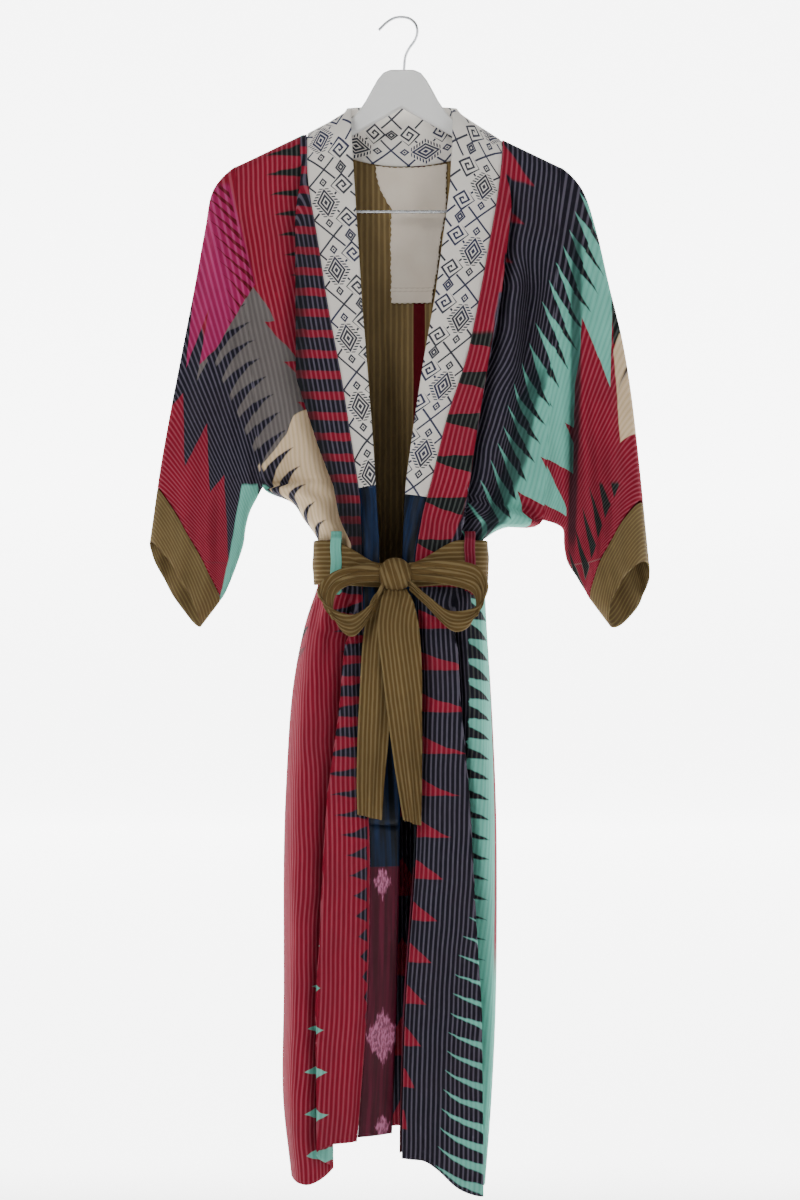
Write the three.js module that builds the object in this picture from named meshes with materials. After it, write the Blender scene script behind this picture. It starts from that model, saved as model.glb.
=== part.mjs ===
// Long kimono jacket of patched striped cloth, hanging on a shouldered hanger, its belt tied in a bow.
// Millimetres, +Z up. The origin is the inner top of the hanger's hook, where a rod would carry it.
// The front of the jacket faces -Y and the wearer's right side is at -X.
import * as THREE from "three";

// Driving sizes
const CLOTH = 1.6;
const DOUBLE_CLOTH = 2.4;
const SEAM_GAP = 0.3;
const SEAM_HALF = 0.2;
const HOOK_WIRE = 3.6;
const BAR_WIRE = 4;
const ARM_HALF_THICKNESS = 5;
const SHOULDER_ROUND = 16;
const UNDERARM_ROUND = 70;
const ARMHOLE_DEPTH_TOP = 14;
const ARMHOLE_DEPTH_MID = 24;
const NECK_DEPTH = 22;
const NECK_SHARE = 0.6;
const SIDE_ROUND = 32;
const BELT_HALF_WIDTH = 101.5;
const BELT_MIDDLE_X = -1.5;
const BELT_FRONT = 51;
const BELT_BACK = 51;
const BELT_POWER = 4;
const WAIST_Z = -654;
const HALF_TURN = Math.PI;

// Front panels. Each row runs from the opening edge (inner) to the armhole or side seam (outer):
// innerX, innerZ, outerX, outerZ, depth in front of the middle plane at the opening edge, and halfway.
const FRONT_RIGHT_ROWS = [
  [-115, -139, -199, -178, 13, 14],
  [-114, -158, -198, -194, 15, 17],
  [-112, -201, -196, -236, 22, 22],
  [-100, -274, -191, -302, 28, 27],
  [-88, -350, -184, -374, 32, 31],
  [-72, -435, -178, -448, 37, 36],
  [-60, -512, -171, -518, 40, 40],
  [-54, -550, -167, -563, 42, 42],
  [-50, -578, -132, -581, 43, 44],
  [-49, -602, -118, -601, 44, 45],
  [-48, -627, -101, -626, 45, 45],
  [-48, -652, -99, -652, 45, 45],
  [-47, -676, -100, -676, 46, 45],
  [-46, -733, -118, -733, 50, 52],
  [-44, -811, -132, -811, 53, 58],
  [-41, -914, -139, -914, 56, 62],
  [-38, -1012, -142, -1012, 58, 66],
  [-41, -1166, -142, -1166, 60, 70],
  [-49, -1286, -143, -1286, 62, 72],
  [-53, -1334, -133, -1384, 62, 72],
];
const FRONT_LEFT_ROWS = [
  [121, -146, 190, -179, 13, 14],
  [120, -170, 188, -200, 15, 17],
  [114, -217, 186, -244, 22, 22],
  [104, -274, 184, -302, 28, 27],
  [92, -339, 180, -368, 32, 31],
  [77, -410, 176, -440, 37, 36],
  [54, -481, 174, -512, 40, 40],
  [36, -554, 169, -602, 42, 42],
  [26, -590, 124, -611, 43, 44],
  [22, -611, 104, -621, 44, 45],
  [19, -627, 94, -632, 45, 45],
  [16, -652, 96, -652, 45, 45],
  [18, -676, 99, -678, 46, 45],
  [20, -733, 102, -733, 50, 52],
  [23, -811, 107, -811, 53, 58],
  [19, -914, 112, -914, 56, 62],
  [16, -1012, 114, -1012, 58, 66],
  [5, -1166, 113, -1166, 60, 70],
  [1, -1286, 108, -1286, 62, 72],
  [0, -1354, 100, -1395, 62, 72],
];
// Back panel, at the same rows: how far its middle dips below the line of the fronts, and its depth.
const BACK_ROWS = [
  [28, 14], [24, 17], [14, 22], [4, 26], [0, 29], [0, 32], [0, 35], [0, 37], [0, 40], [0, 43],
  [0, 45], [0, 45], [0, 46], [0, 52], [0, 56], [0, 60], [0, 63], [0, 66], [0, 67], [0, 67],
];
const UNDERARM_ROW = 7;
const LAST_ROW = FRONT_RIGHT_ROWS.length - 1;

// Laps: one side of the cloth lies over the other along a path of [z, x] points.
// lap is the overlap, step the drop from the upper layer to the lower one, width the reach along the cloth.
const RIGHT_LAPS = [
  { path: [[-185, -128], [-266, -127], [-434, -132], [-515, -103], [-629, -66]], lap: 15, step: 15, width: 17 },
  { path: [[-725, -71], [-746, -72], [-950, -86], [-1178, -103], [-1384, -104]], lap: 16, step: 18, width: 17 },
];
const LEFT_LAPS = [
  { path: [[-205, 128], [-340, 112], [-458, 90], [-550, 76], [-629, 66]], lap: 11, step: 12, width: 15 },
  { path: [[-725, 66], [-811, 74], [-1010, 86], [-1178, 90], [-1395, 88]], lap: 14, step: 16, width: 15 },
];
// Soft folds: rounded ridges (out above 0) or troughs (out below 0), placed by [z, share of the panel's width].
const RIGHT_SOFT = [
  { path: [[-725, 0.1], [-1334, 0.16]], out: 5, width: 16 },
  { path: [[-725, 0.8], [-1384, 0.84]], out: 7, width: 14 },
  { path: [[-230, 0.72], [-560, 0.8]], out: -5, width: 22 },
];
const LEFT_SOFT = [
  { path: [[-725, 0.12], [-1354, 0.2]], out: 6, width: 17 },
  { path: [[-725, 0.42], [-1380, 0.46]], out: -6, width: 15 },
  { path: [[-230, 0.75], [-560, 0.8]], out: -6, width: 22 },
];
const BACK_SOFT = [
  { path: [[-725, -0.72], [-1384, -0.7]], out: 10, width: 20 },
  { path: [[-730, -0.36], [-1384, -0.34]], out: -12, width: 24 },
  { path: [[-725, -0.02], [-1384, 0.03]], out: 12, width: 26 },
  { path: [[-730, 0.34], [-1384, 0.38]], out: -11, width: 22 },
  { path: [[-725, 0.7], [-1384, 0.72]], out: 10, width: 20 },
  { path: [[-330, -0.5], [-620, -0.3]], out: -6, width: 30 },
  { path: [[-330, 0.5], [-620, 0.3]], out: -6, width: 30 },
  { path: [[-280, 0.02], [-620, 0]], out: 5, width: 34 },
];
const FOLD_FADE = 70;

// Sleeves, ring by ring from the armhole to the cuff's edge. Each ring is a flattened loop between its
// fold point (top) and its underside point: topX, topZ, underX, underZ, half depth, skew of front to back.
const RIGHT_SLEEVE_RINGS = [
  [-199, -178, -167, -563, 0, 0],
  [-226, -206, -175, -578, 22, 0],
  [-236, -254, -182, -592, 21, 0],
  [-248, -320, -187, -611, 20, 0],
  [-262, -392, -190, -632, 18, 0],
  [-276, -464, -199, -659, 17, 2],
  [-287, -524, -209, -684, 16, 4],
  [-293, -562, -217, -698, 15, 6],
  [-302, -628, -241, -730, 17, 10],
];
const LEFT_SLEEVE_RINGS = [
  [190, -179, 169, -602, 0, 0],
  [216, -206, 185, -607, 22, 0],
  [233, -256, 193, -614, 21, 0],
  [248, -320, 194, -632, 20, 1],
  [264, -386, 198, -652, 18, 3],
  [275, -452, 209, -670, 18, 6],
  [283, -524, 220, -688, 20, 10],
  [288, -578, 226, -698, 23, 14],
  [294, -652, 250, -730, 28, 18],
];
const CUFF_SEAM_RING = 7;

// The band along the opening: where its free edge lies at each row of the front's edge: [row, x, y, z].
const RIGHT_FREE_EDGE = [
  [0, -60, 12, -106], [0.1, -60, 3, -106.5], [0.4, -61, -9, -110], [0.8, -61, -17, -122], [1.2, -60, -24, -144],
  [2, -57, -31, -196], [3, -52, -38, -272], [4, -47, -42, -350], [5, -40, -46, -435], [6, -34, -49, -512],
  [8, -30, -51, -578], [10, -27, -48, -627], [12, -26, -46, -676], [13, -20, -42, -733], [14, -10, -42, -811],
  [15, -2, -46, -914], [16, -3, -48, -1012], [17, -6, -48, -1166], [18, -10, -48, -1286], [19, -12, -48, -1332],
];
const LEFT_FREE_EDGE = [
  [0, 60, 12, -106], [0.1, 60, 3, -106.5], [0.4, 61, -9, -110], [0.8, 61, -17, -122], [1.2, 60, -24, -146],
  [2, 57, -31, -206], [3, 48, -38, -272], [4, 39, -42, -339], [5, 26, -46, -410], [6, 15, -49, -481],
  [7, 5, -50, -554], [8, 2, -51, -590], [10, 1, -48, -627], [11, 0, -46, -652], [19, 0, -46, -1354],
];
// Below the belt the left band is turned under its front: how far it reaches in and back.
const TURNED_FROM = 11.2;
const TURNED_BY = 12.6;
const TURNED_REACH = 34;
const TURNED_DROP = 13;

// Helpers on numbers
const clamp01 = (v) => Math.min(1, Math.max(0, v));
const lerp = (a, b, t) => a + (b - a) * t;
const smooth = (t) => {
  const c = clamp01(t);
  return c * c * (3 - 2 * c);
};
const quarterRound = (d, reach) => Math.sqrt(1 - (1 - clamp01(d / reach)) ** 2);

// A table read between its rows, smoothly.
function readRows(rows, k) {
  const i = Math.min(rows.length - 2, Math.max(0, Math.floor(k)));
  const f = k - i;
  const before = rows[Math.max(0, i - 1)];
  const after = rows[Math.min(rows.length - 1, i + 2)];
  return rows[i].map((p1, c) => {
    const p2 = rows[i + 1][c];
    const m1 = i > 0 ? (p2 - before[c]) / 2 : p2 - p1;
    const m2 = i + 2 < rows.length ? (after[c] - p1) / 2 : p2 - p1;
    const f2 = f * f;
    const f3 = f2 * f;
    return (2 * f3 - 3 * f2 + 1) * p1 + (f3 - 2 * f2 + f) * m1 + (3 * f2 - 2 * f3) * p2 + (f3 - f2) * m2;
  });
}

// The values on a path of [place, value, ...] points at a place, with places rising or falling along it.
function alongPath(path, place) {
  const way = Math.sign(path[1][0] - path[0][0]);
  let i = 0;
  while (i < path.length - 2 && way * (place - path[i + 1][0]) > 0) i += 1;
  const f = clamp01((place - path[i][0]) / (path[i + 1][0] - path[i][0]));
  return path[i].slice(1).map((a, c) => lerp(a, path[i + 1][c + 1], f));
}

// How strong a fold is at height z: it fades in and out at the ends of its path.
function foldStrength(path, z) {
  const top = path[0][0];
  const bottom = path[path.length - 1][0];
  const runsOut = bottom < -1300 ? 1 : smooth((z - bottom + FOLD_FADE / 2) / FOLD_FADE);
  return smooth((top + FOLD_FADE / 2 - z) / FOLD_FADE) * runsOut;
}

// The armhole's half depth at height z, the same for front, back and sleeve.
function armholeDepth(z, topZ, underZ) {
  const below = topZ - z;
  const flat = lerp(ARMHOLE_DEPTH_TOP, ARMHOLE_DEPTH_MID, smooth(below / 150));
  return flat * quarterRound(below, SHOULDER_ROUND) * quarterRound(z - underZ, UNDERARM_ROUND);
}

// Gathers just above and below the belt, held flat under it.
function gathers(z, along) {
  const away = Math.abs(z - WAIST_Z);
  return 3.2 * smooth((away - 20) / 30) * (1 - smooth((away - 45) / 120)) * Math.sin(along);
}

// The armhole seam is a straight line from the shoulder to the underarm.
function outerX(rows, k, tableX, z) {
  if (k >= UNDERARM_ROW) return tableX;
  const [, , topX, topZ] = rows[0];
  const [, , underX, underZ] = rows[UNDERARM_ROW];
  return lerp(topX, underX, (topZ - z) / (topZ - underZ));
}

// One point of a front panel: row k, share t of its width from the opening edge to the outer edge.
function frontBase(rows, k, t) {
  const [ix, iz, tableX, oz, edge, mid] = readRows(rows, k);
  const ox = outerX(rows, k, tableX, oz);
  const share = k > UNDERARM_ROW + 5 ? smooth((t - 0.2) / 0.6) : t;
  const below = lerp(rows[0][1] - iz, rows[0][3] - oz, t);
  const flat = lerp(edge, mid, smooth(t * 2)) * quarterRound(below, SHOULDER_ROUND);
  const span = Math.abs(ox - ix);
  let depth = flat;
  if (k < UNDERARM_ROW) {
    const side = armholeDepth(oz, rows[0][3], rows[UNDERARM_ROW][3]);
    depth = lerp(flat, side, smooth((t - 0.35) / 0.65));
  } else {
    depth = flat * quarterRound((1 - t) * span, SIDE_ROUND);
  }
  return [lerp(ix, ox, t), -depth - SEAM_GAP / 2, lerp(iz, oz, share), ix, ox];
}

function frontPoint(rows, laps, softs, k, t) {
  const [bx, by, z, ix, ox] = frontBase(rows, k, t);
  const side = Math.sign(ox - ix);
  const calm = smooth(k) * smooth(t / 0.08) * smooth((1 - t) / 0.12);
  let x = bx;
  let y = by;
  for (const { path, lap, step, width } of laps) {
    const q = (side * (bx - alongPath(path, z)[0])) / width;
    const pull = foldStrength(path, z) * calm * q * Math.exp(-q * q) * 2.33;
    x -= side * pull * lap;
    y += (pull * step) / 2;
  }
  for (const { path, out, width } of softs) {
    const q = ((t - alongPath(path, z)[0]) * Math.abs(ox - ix)) / width;
    y -= foldStrength(path, z) * calm * out * Math.exp(-q * q);
  }
  y -= calm * gathers(z, t * 21);
  return [x, y, z];
}

const rightFront = (k, t) => frontPoint(FRONT_RIGHT_ROWS, RIGHT_LAPS, RIGHT_SOFT, k, t);
const leftFront = (k, t) => frontPoint(FRONT_LEFT_ROWS, LEFT_LAPS, LEFT_SOFT, k, t);

// One point of the back: t runs from -1 at the wearer's right side to 1 at the left.
function backPoint(k, t) {
  const rows = t < 0 ? FRONT_RIGHT_ROWS : FRONT_LEFT_ROWS;
  const [, iz, tableX, oz] = readRows(rows, k);
  const ox = outerX(rows, k, tableX, oz);
  const [, rightZ] = readRows(FRONT_RIGHT_ROWS, k);
  const [, leftZ] = readRows(FRONT_LEFT_ROWS, k);
  const [dip, mid] = readRows(BACK_ROWS, k);
  const a = Math.abs(t);
  const neckX = Math.sign(ox) * lerp(118, Math.abs(ox) * NECK_SHARE, smooth(k / 5));
  const inNeck = clamp01(a / NECK_SHARE);
  const outNeck = clamp01((a - NECK_SHARE) / (1 - NECK_SHARE));
  const x = a < NECK_SHARE ? neckX * inNeck : lerp(neckX, ox, outNeck);
  const middleZ = (rightZ + leftZ) / 2 - dip;
  const z = a < NECK_SHARE ? lerp(middleZ, iz, inNeck ** 2) : lerp(iz, oz, outNeck);
  const below = lerp(rows[0][1] - iz, rows[0][3] - oz, outNeck);
  const shoulder = mid * quarterRound(below, SHOULDER_ROUND);
  const hollow = lerp(Math.sqrt(1 - inNeck ** 6), 1, smooth(k));
  const neck = lerp(NECK_DEPTH, mid, smooth(k / 4)) * hollow;
  let depth = a < NECK_SHARE ? lerp(neck, shoulder, inNeck ** 8) : shoulder;
  if (k < UNDERARM_ROW) {
    const side = armholeDepth(oz, rows[0][3], rows[UNDERARM_ROW][3]);
    depth = lerp(depth, side, smooth((a - 0.65) / 0.35));
  } else {
    depth *= quarterRound(Math.abs(ox) * (1 - a), SIDE_ROUND);
  }
  const calm = smooth(k) * smooth((1 - a) / 0.12);
  let y = depth + SEAM_GAP / 2;
  for (const { path, out, width } of BACK_SOFT) {
    const q = ((t - alongPath(path, z)[0]) * Math.abs(ox)) / width;
    y += foldStrength(path, z) * calm * out * Math.exp(-q * q);
  }
  y += calm * gathers(z, t * 24);
  return [x, y, z];
}

// One point of a sleeve ring. around runs 0 to 1 from the underside up the front to the top fold and
// down the back.
function sleevePoint(rings, frontRows, ring, around) {
  const [tx, tz, ux, uz, half, skew] = readRows(rings, ring);
  const angle = around * 2 * HALF_TURN;
  const share = (1 - Math.cos(angle)) / 2;
  const layer = -Math.sign(Math.sin(angle)) * Math.abs(Math.sin(angle)) ** 0.7;
  const x = lerp(ux, tx, share);
  const z = lerp(uz, tz, share);
  const seam = Math.sign(Math.sin(angle));
  const armhole = armholeDepth(z, frontRows[0][3], frontRows[UNDERARM_ROW][3]) + SEAM_GAP / 2;
  const join = smooth(ring);
  const ripple = 5 * smooth(ring - 0.5) * Math.sin(share * 15 + ring * 0.7) * Math.sin(angle) ** 2;
  const y = lerp(-seam * armhole, layer * half - seam * ripple, join);
  const slide = skew * Math.sin(angle);
  const length = Math.hypot(tx - ux, tz - uz);
  const side = Math.sign(tx);
  return [x - (side * slide * (tz - uz)) / length, y, z + (slide * Math.abs(tx - ux)) / length];
}

// Solids
const difference = (a, b) => [a[0] - b[0], a[1] - b[1], a[2] - b[2]];
const cross = (a, b) => [a[1] * b[2] - a[2] * b[1], a[2] * b[0] - a[0] * b[2], a[0] * b[1] - a[1] * b[0]];
const unit = (a) => {
  const l = Math.hypot(...a) || 1;
  return a.map((v) => v / l);
};
const moved = (p, n, d) => p.map((v, c) => v + n[c] * d);

// The directions square to a grid of points. flatten removes the part of an edge's direction that would
// push the wall across a seam: a vector for each of the edges first, last, start and end.
function gridNormals(points, closed, flatten) {
  const rows = points.length;
  const columns = points[0].length;
  return points.map((row, j) =>
    row.map((_, i) => {
      const left = closed ? row[(i + columns - 1) % columns] : row[Math.max(0, i - 1)];
      const right = closed ? row[(i + 1) % columns] : row[Math.min(columns - 1, i + 1)];
      const up = points[Math.max(0, j - 1)][i];
      const down = points[Math.min(rows - 1, j + 1)][i];
      let n = unit(cross(difference(right, left), difference(down, up)));
      const drop = (axis) => {
        const along = n[0] * axis[0] + n[1] * axis[1] + n[2] * axis[2];
        n = unit(moved(n, axis, -along));
      };
      if (j === 0 && flatten.first) drop(flatten.first);
      if (j === rows - 1 && flatten.last) drop(flatten.last);
      if (i === 0 && flatten.start) drop(flatten.start(j));
      if (i === columns - 1 && flatten.end) drop(flatten.end(j));
      return n;
    }),
  );
}

// A closed wall: the points are one face, the other lies wall away on the side that away gives (1 or -1).
function wallSolid(points, wall, { closed = false, flatten = {}, away = 1, normals: given } = {}) {
  const rows = points.length;
  const columns = points[0].length;
  const normals = given || gridNormals(points, closed, flatten);
  const inner = points.map((row, j) => row.map((p, i) => moved(p, normals[j][i], away * wall)));
  const positions = [...points.flat(), ...inner.flat()].flat();
  const faces = [];
  const quad = (a, b, c, d) => faces.push(a, b, c, a, c, d);
  const at = (j, i, layer) => layer * rows * columns + j * columns + (i % columns);
  const steps = closed ? columns : columns - 1;
  for (let j = 0; j < rows - 1; j += 1) {
    for (let i = 0; i < steps; i += 1) {
      quad(at(j, i, 0), at(j + 1, i, 0), at(j + 1, i + 1, 0), at(j, i + 1, 0));
      quad(at(j, i, 1), at(j, i + 1, 1), at(j + 1, i + 1, 1), at(j + 1, i, 1));
    }
  }
  for (let i = 0; i < steps; i += 1) {
    quad(at(0, i, 0), at(0, i + 1, 0), at(0, i + 1, 1), at(0, i, 1));
    quad(at(rows - 1, i, 0), at(rows - 1, i, 1), at(rows - 1, i + 1, 1), at(rows - 1, i + 1, 0));
  }
  if (!closed) {
    for (let j = 0; j < rows - 1; j += 1) {
      quad(at(j, 0, 0), at(j, 0, 1), at(j + 1, 0, 1), at(j + 1, 0, 0));
      const last = columns - 1;
      quad(at(j, last, 0), at(j + 1, last, 0), at(j + 1, last, 1), at(j, last, 1));
    }
  }
  return solidFrom(positions, faces);
}

// Part of a grid, from one row to another, drawn back by half a seam gap at the ends that meet a neighbour.
function stretchOf(points, normals, from, to, gapFirst, gapLast) {
  const part = points.slice(from, to + 1);
  const drawBack = (row, next) => {
    const apart = Math.max(...row.map((p, i) => Math.hypot(...difference(p, next[i]))));
    const nearest = Math.min(...row.map((p, i) => Math.hypot(...difference(p, next[i]))));
    const share = Math.min(0.4, SEAM_HALF / Math.max(nearest, apart * 0.2));
    return row.map((p, i) => p.map((v, c) => lerp(v, next[i][c], share)));
  };
  if (gapFirst) part[0] = drawBack(part[0], part[1]);
  if (gapLast) part[part.length - 1] = drawBack(part[part.length - 1], part[part.length - 2]);
  return { points: part, normals: normals.slice(from, to + 1) };
}

// A geometry whose faces point out, whichever way round the grid was given.
function solidFrom(positions, faces) {
  const p = (i) => [positions[3 * i], positions[3 * i + 1], positions[3 * i + 2]];
  let volume = 0;
  for (let f = 0; f < faces.length; f += 3) {
    const [a, b, c] = [p(faces[f]), p(faces[f + 1]), p(faces[f + 2])];
    const n = cross(b, c);
    volume += a[0] * n[0] + a[1] * n[1] + a[2] * n[2];
  }
  const index = volume > 0 ? faces : faces.slice().reverse();
  const geometry = new THREE.BufferGeometry();
  geometry.setAttribute("position", new THREE.Float32BufferAttribute(positions, 3));
  geometry.setIndex(index);
  geometry.computeVertexNormals();
  return geometry;
}

// Points spaced evenly along a line that a function gives for 0 to 1.
function evenly(lineAt, count) {
  const fine = Array.from({ length: 161 }, (_, i) => lineAt(i / 160));
  const sums = [0];
  for (let i = 1; i < fine.length; i += 1) {
    sums.push(sums[i - 1] + Math.hypot(...difference(fine[i], fine[i - 1])));
  }
  const total = sums[sums.length - 1];
  let at = 0;
  return Array.from({ length: count + 1 }, (_, i) => {
    const goal = (total * i) / count;
    while (at < fine.length - 2 && sums[at + 1] < goal) at += 1;
    const f = clamp01((goal - sums[at]) / (sums[at + 1] - sums[at]));
    return fine[at].map((v, c) => lerp(v, fine[at + 1][c], f));
  });
}

// Heights of the rows of a body panel's mesh, closer together over the shoulder.
const BODY_ROWS = [0, 0.12, 0.35, 0.7, 1.2, 2, 3, 4, 5, 6, 6.6, 7, 7.5, 8.2, 9, 10, 12, 12.6];
for (let k = 13.4; k < LAST_ROW - 0.1; k += 1.12) BODY_ROWS.push(k);
BODY_ROWS.push(LAST_ROW);

const range = (from, to, count) => Array.from({ length: count + 1 }, (_, i) => lerp(from, to, i / count));
const AXIS_Y = [0, 1, 0];
const seamAxis = (rows) => {
  const dx = rows[UNDERARM_ROW][2] - rows[0][2];
  const dz = rows[UNDERARM_ROW][3] - rows[0][3];
  return unit([dz, 0, -dx]);
};
// Across the armhole the wall keeps to the seam's plane, and below it to the side seam's.
const outerFlatten = (rows, meshRows) => (j) => (meshRows[j] < UNDERARM_ROW ? seamAxis(rows) : AXIS_Y);

const group = new THREE.Group();
function add(name, geometry, color, roughness = 0.9, metalness = 0) {
  const material = new THREE.MeshStandardMaterial({ color, roughness, metalness, side: THREE.DoubleSide });
  const mesh = new THREE.Mesh(geometry, material);
  mesh.name = name;
  group.add(mesh);
}

const STRIPED_RED = 0x8c2740;
const STRIPED_NAVY = 0x35384a;
const OLIVE = 0x6e5d3a;
const COLLAR_WHITE = 0xdcd9d2;
const SATIN = 0x1d3350;
const WINE = 0x5a1e33;
const PATCH = 0xe2dccf;
const PAINT = 0xf2f2f0;
const STEEL = 0xb8bcc0;

// Fronts and back
const FRONT_COLUMNS = 16;
const BACK_COLUMNS = 25;
const frontGrid = (point) => BODY_ROWS.map((k) => evenly((t) => point(k, t), FRONT_COLUMNS));
for (const [name, point, rows, color] of [
  ["front_right", rightFront, FRONT_RIGHT_ROWS, STRIPED_RED],
  ["front_left", leftFront, FRONT_LEFT_ROWS, STRIPED_NAVY],
]) {
  const flatten = { first: AXIS_Y, end: outerFlatten(rows, BODY_ROWS) };
  const away = rows === FRONT_RIGHT_ROWS ? -1 : 1;
  add(name, wallSolid(frontGrid(point), CLOTH, { flatten, away }), color);
}
const backGrid = BODY_ROWS.map((k) => evenly((s) => backPoint(k, s * 2 - 1), BACK_COLUMNS));
const backFlatten = {
  first: AXIS_Y,
  start: outerFlatten(FRONT_RIGHT_ROWS, BODY_ROWS),
  end: outerFlatten(FRONT_LEFT_ROWS, BODY_ROWS),
};
add("back", wallSolid(backGrid, CLOTH, { flatten: backFlatten, away: -1 }), STRIPED_NAVY);

// The lining of the back, and the bare patch sewn on it
const LINING_WALL = 1;
const LINING_EDGE_COLUMNS = 4;
const LINING_TOP_ROW = 3;
const LINING_END_ROW = BODY_ROWS.indexOf(12);
const sunk = (grid, normals, by) => grid.map((row, j) => row.map((p, i) => moved(p, normals[j][i], -by)));
const backNormals = gridNormals(backGrid, false, backFlatten);
const underLining = (grid) =>
  grid.slice(LINING_TOP_ROW, LINING_END_ROW).map((row) => row.slice(LINING_EDGE_COLUMNS, -LINING_EDGE_COLUMNS));
const liningNormals = underLining(backNormals);
const liningGrid = sunk(underLining(backGrid), liningNormals, CLOTH + SEAM_GAP);
add("back_lining", wallSolid(liningGrid, LINING_WALL, { away: -1, normals: liningNormals }), OLIVE);

// The patch: [z, left edge, right edge]
const PATCH_EDGES = [
  [-186, -30, 53], [-200, -28, 53], [-226, -12, 53], [-262, -13, 47], [-300, -14, 42], [-338, -14, 37],
];
const PATCH_OFF = 2;
function backShare(x, k) {
  const row = range(-1, 1, 200).map((t) => [t, backPoint(k, t)[0]]);
  return row.reduce((a, b) => (Math.abs(b[1] - x) < Math.abs(a[1] - x) ? b : a))[0];
}
function rowAtHeight(z) {
  let k = 0;
  while (k < LAST_ROW && backPoint(k, 0)[2] > z) k += 0.02;
  return k;
}
const patchOuter = PATCH_EDGES.map(([z, x0, x1]) => {
  const k = rowAtHeight(z);
  return range(backShare(x0, k), backShare(x1, k), 4).map((t) => backPoint(k, t));
});
const patchNormals = gridNormals(patchOuter, false, {});
const patchGrid = sunk(patchOuter, patchNormals, CLOTH + SEAM_GAP + LINING_WALL + PATCH_OFF);
add("neck_patch", wallSolid(patchGrid, 1, { away: -1 }), PATCH);

// Sleeves and cuffs
const AROUND = 20;
const ARMHOLE_GAP = 0.4;
const CUFF_ROWS = 3;
for (const [side, rings, rows, color, sign] of [
  ["right", RIGHT_SLEEVE_RINGS, FRONT_RIGHT_ROWS, STRIPED_RED, -1],
  ["left", LEFT_SLEEVE_RINGS, FRONT_LEFT_ROWS, STRIPED_NAVY, 1],
]) {
  const sleeveRows = [0, 0.35, 1, 2, 3, 4, 5, 6];
  const places = [...sleeveRows, ...range(CUFF_SEAM_RING, rings.length - 1, CUFF_ROWS)];
  const grid = places.map((ring) =>
    Array.from({ length: AROUND }, (_, i) => {
      const [x, y, z] = sleevePoint(rings, rows, ring, (i + 0.5) / AROUND);
      return [x + sign * ARMHOLE_GAP, y, z];
    }),
  );
  const normals = gridNormals(grid, true, { first: seamAxis(rows) });
  const seam = sleeveRows.length;
  const sleeve = stretchOf(grid, normals, 0, seam, false, true);
  const cuff = stretchOf(grid, normals, seam, places.length - 1, true, false);
  const walls = { closed: true, away: sign };
  add("sleeve_" + side, wallSolid(sleeve.points, CLOTH, { ...walls, normals: sleeve.normals }), color);
  add("cuff_" + side, wallSolid(cuff.points, CLOTH, { ...walls, normals: cuff.normals }), OLIVE);
}

// The band: one strip up the right front, round the back of the neck and down the left front, in seven pieces
const BAND_ACROSS = 3;
const BAND_OFF = 0.5;
const NECK_OFF = 1.6;
const NECK_INWARD_RIGHT = 0.955;
const NECK_INWARD_LEFT = 0.99;
const BAND_BOW = 2.5;
const acrossBand = (seam, free, bowWay) =>
  range(0, 1, BAND_ACROSS).map((f) => seam.map((v, c) => lerp(v, free[c], f) + bowWay[c] * Math.sin(f * HALF_TURN)));
function neckRow(s) {
  const [x, y, z] = backPoint(0, lerp(-NECK_SHARE, NECK_SHARE, s));
  const lift = 1 - Math.abs(2 * s - 1) ** 3;
  const free = [x * lerp(0.51, 0.9, lift), lerp(12, 36, lift), lerp(-106, -100, lift)];
  const inward = lerp(x < 0 ? NECK_INWARD_RIGHT : NECK_INWARD_LEFT, 1, lift);
  return acrossBand([x * inward, y + BAND_OFF * lift, z + NECK_OFF], free, [0, BAND_BOW * lift, 0]);
}
function frontRow(front, edge, k, sign) {
  const [sx, sy, sz] = front(k, 0);
  const [ex, ey, ez] = alongPath(edge, k);
  const off = lerp(NECK_OFF, BAND_OFF, smooth(k / 2));
  const flat = acrossBand([sx - sign * off, sy, sz], [ex, ey, ez], [0, -BAND_BOW * smooth(k), 0]);
  const turned = sign > 0 ? smooth((k - TURNED_FROM) / (TURNED_BY - TURNED_FROM)) : 0;
  return flat.map(([x, y, z], i) => {
    const f = i / BAND_ACROSS;
    const underX = sx - 2 * CLOTH + TURNED_REACH * f * f;
    const underY = sy + 1 + TURNED_DROP * Math.sin((f * HALF_TURN) / 2);
    return [lerp(x, underX, turned ** 2), lerp(y, underY, smooth(turned * 2)), lerp(z, sz, turned)];
  });
}
const COLLAR_ROWS = [0.12, 0.4, 0.8, 1.2, 2, 3, 4, 5, 6, 7];
const SATIN_ROWS = [8, 9, 10, 11, 11.5, 12, 12.6, 13, 14, 15];
const WINE_ROWS = [16, 17, 18, 18.9];
const FRONT_ROWS = [...COLLAR_ROWS, ...SATIN_ROWS, ...WINE_ROWS];
const NECK_END_ROWS = [0, 0.02, 0.05, 0.1, 0.18, 0.28, 0.39];
const NECK_ROWS = [...NECK_END_ROWS, 0.5, ...NECK_END_ROWS.map((v) => 1 - v).reverse()];
const bandStrip = [
  ...FRONT_ROWS.slice().reverse().map((k) => frontRow(rightFront, RIGHT_FREE_EDGE, k, -1)),
  ...NECK_ROWS.map(neckRow),
  ...FRONT_ROWS.map((k) => frontRow(leftFront, LEFT_FREE_EDGE, k, 1)),
];
const bandNormals = gridNormals(bandStrip, false, {});
const rightNeck = FRONT_ROWS.length;
const leftNeck = rightNeck + NECK_ROWS.length - 1;
const collarRows = COLLAR_ROWS.length;
const satinRows = SATIN_ROWS.length;
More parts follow.
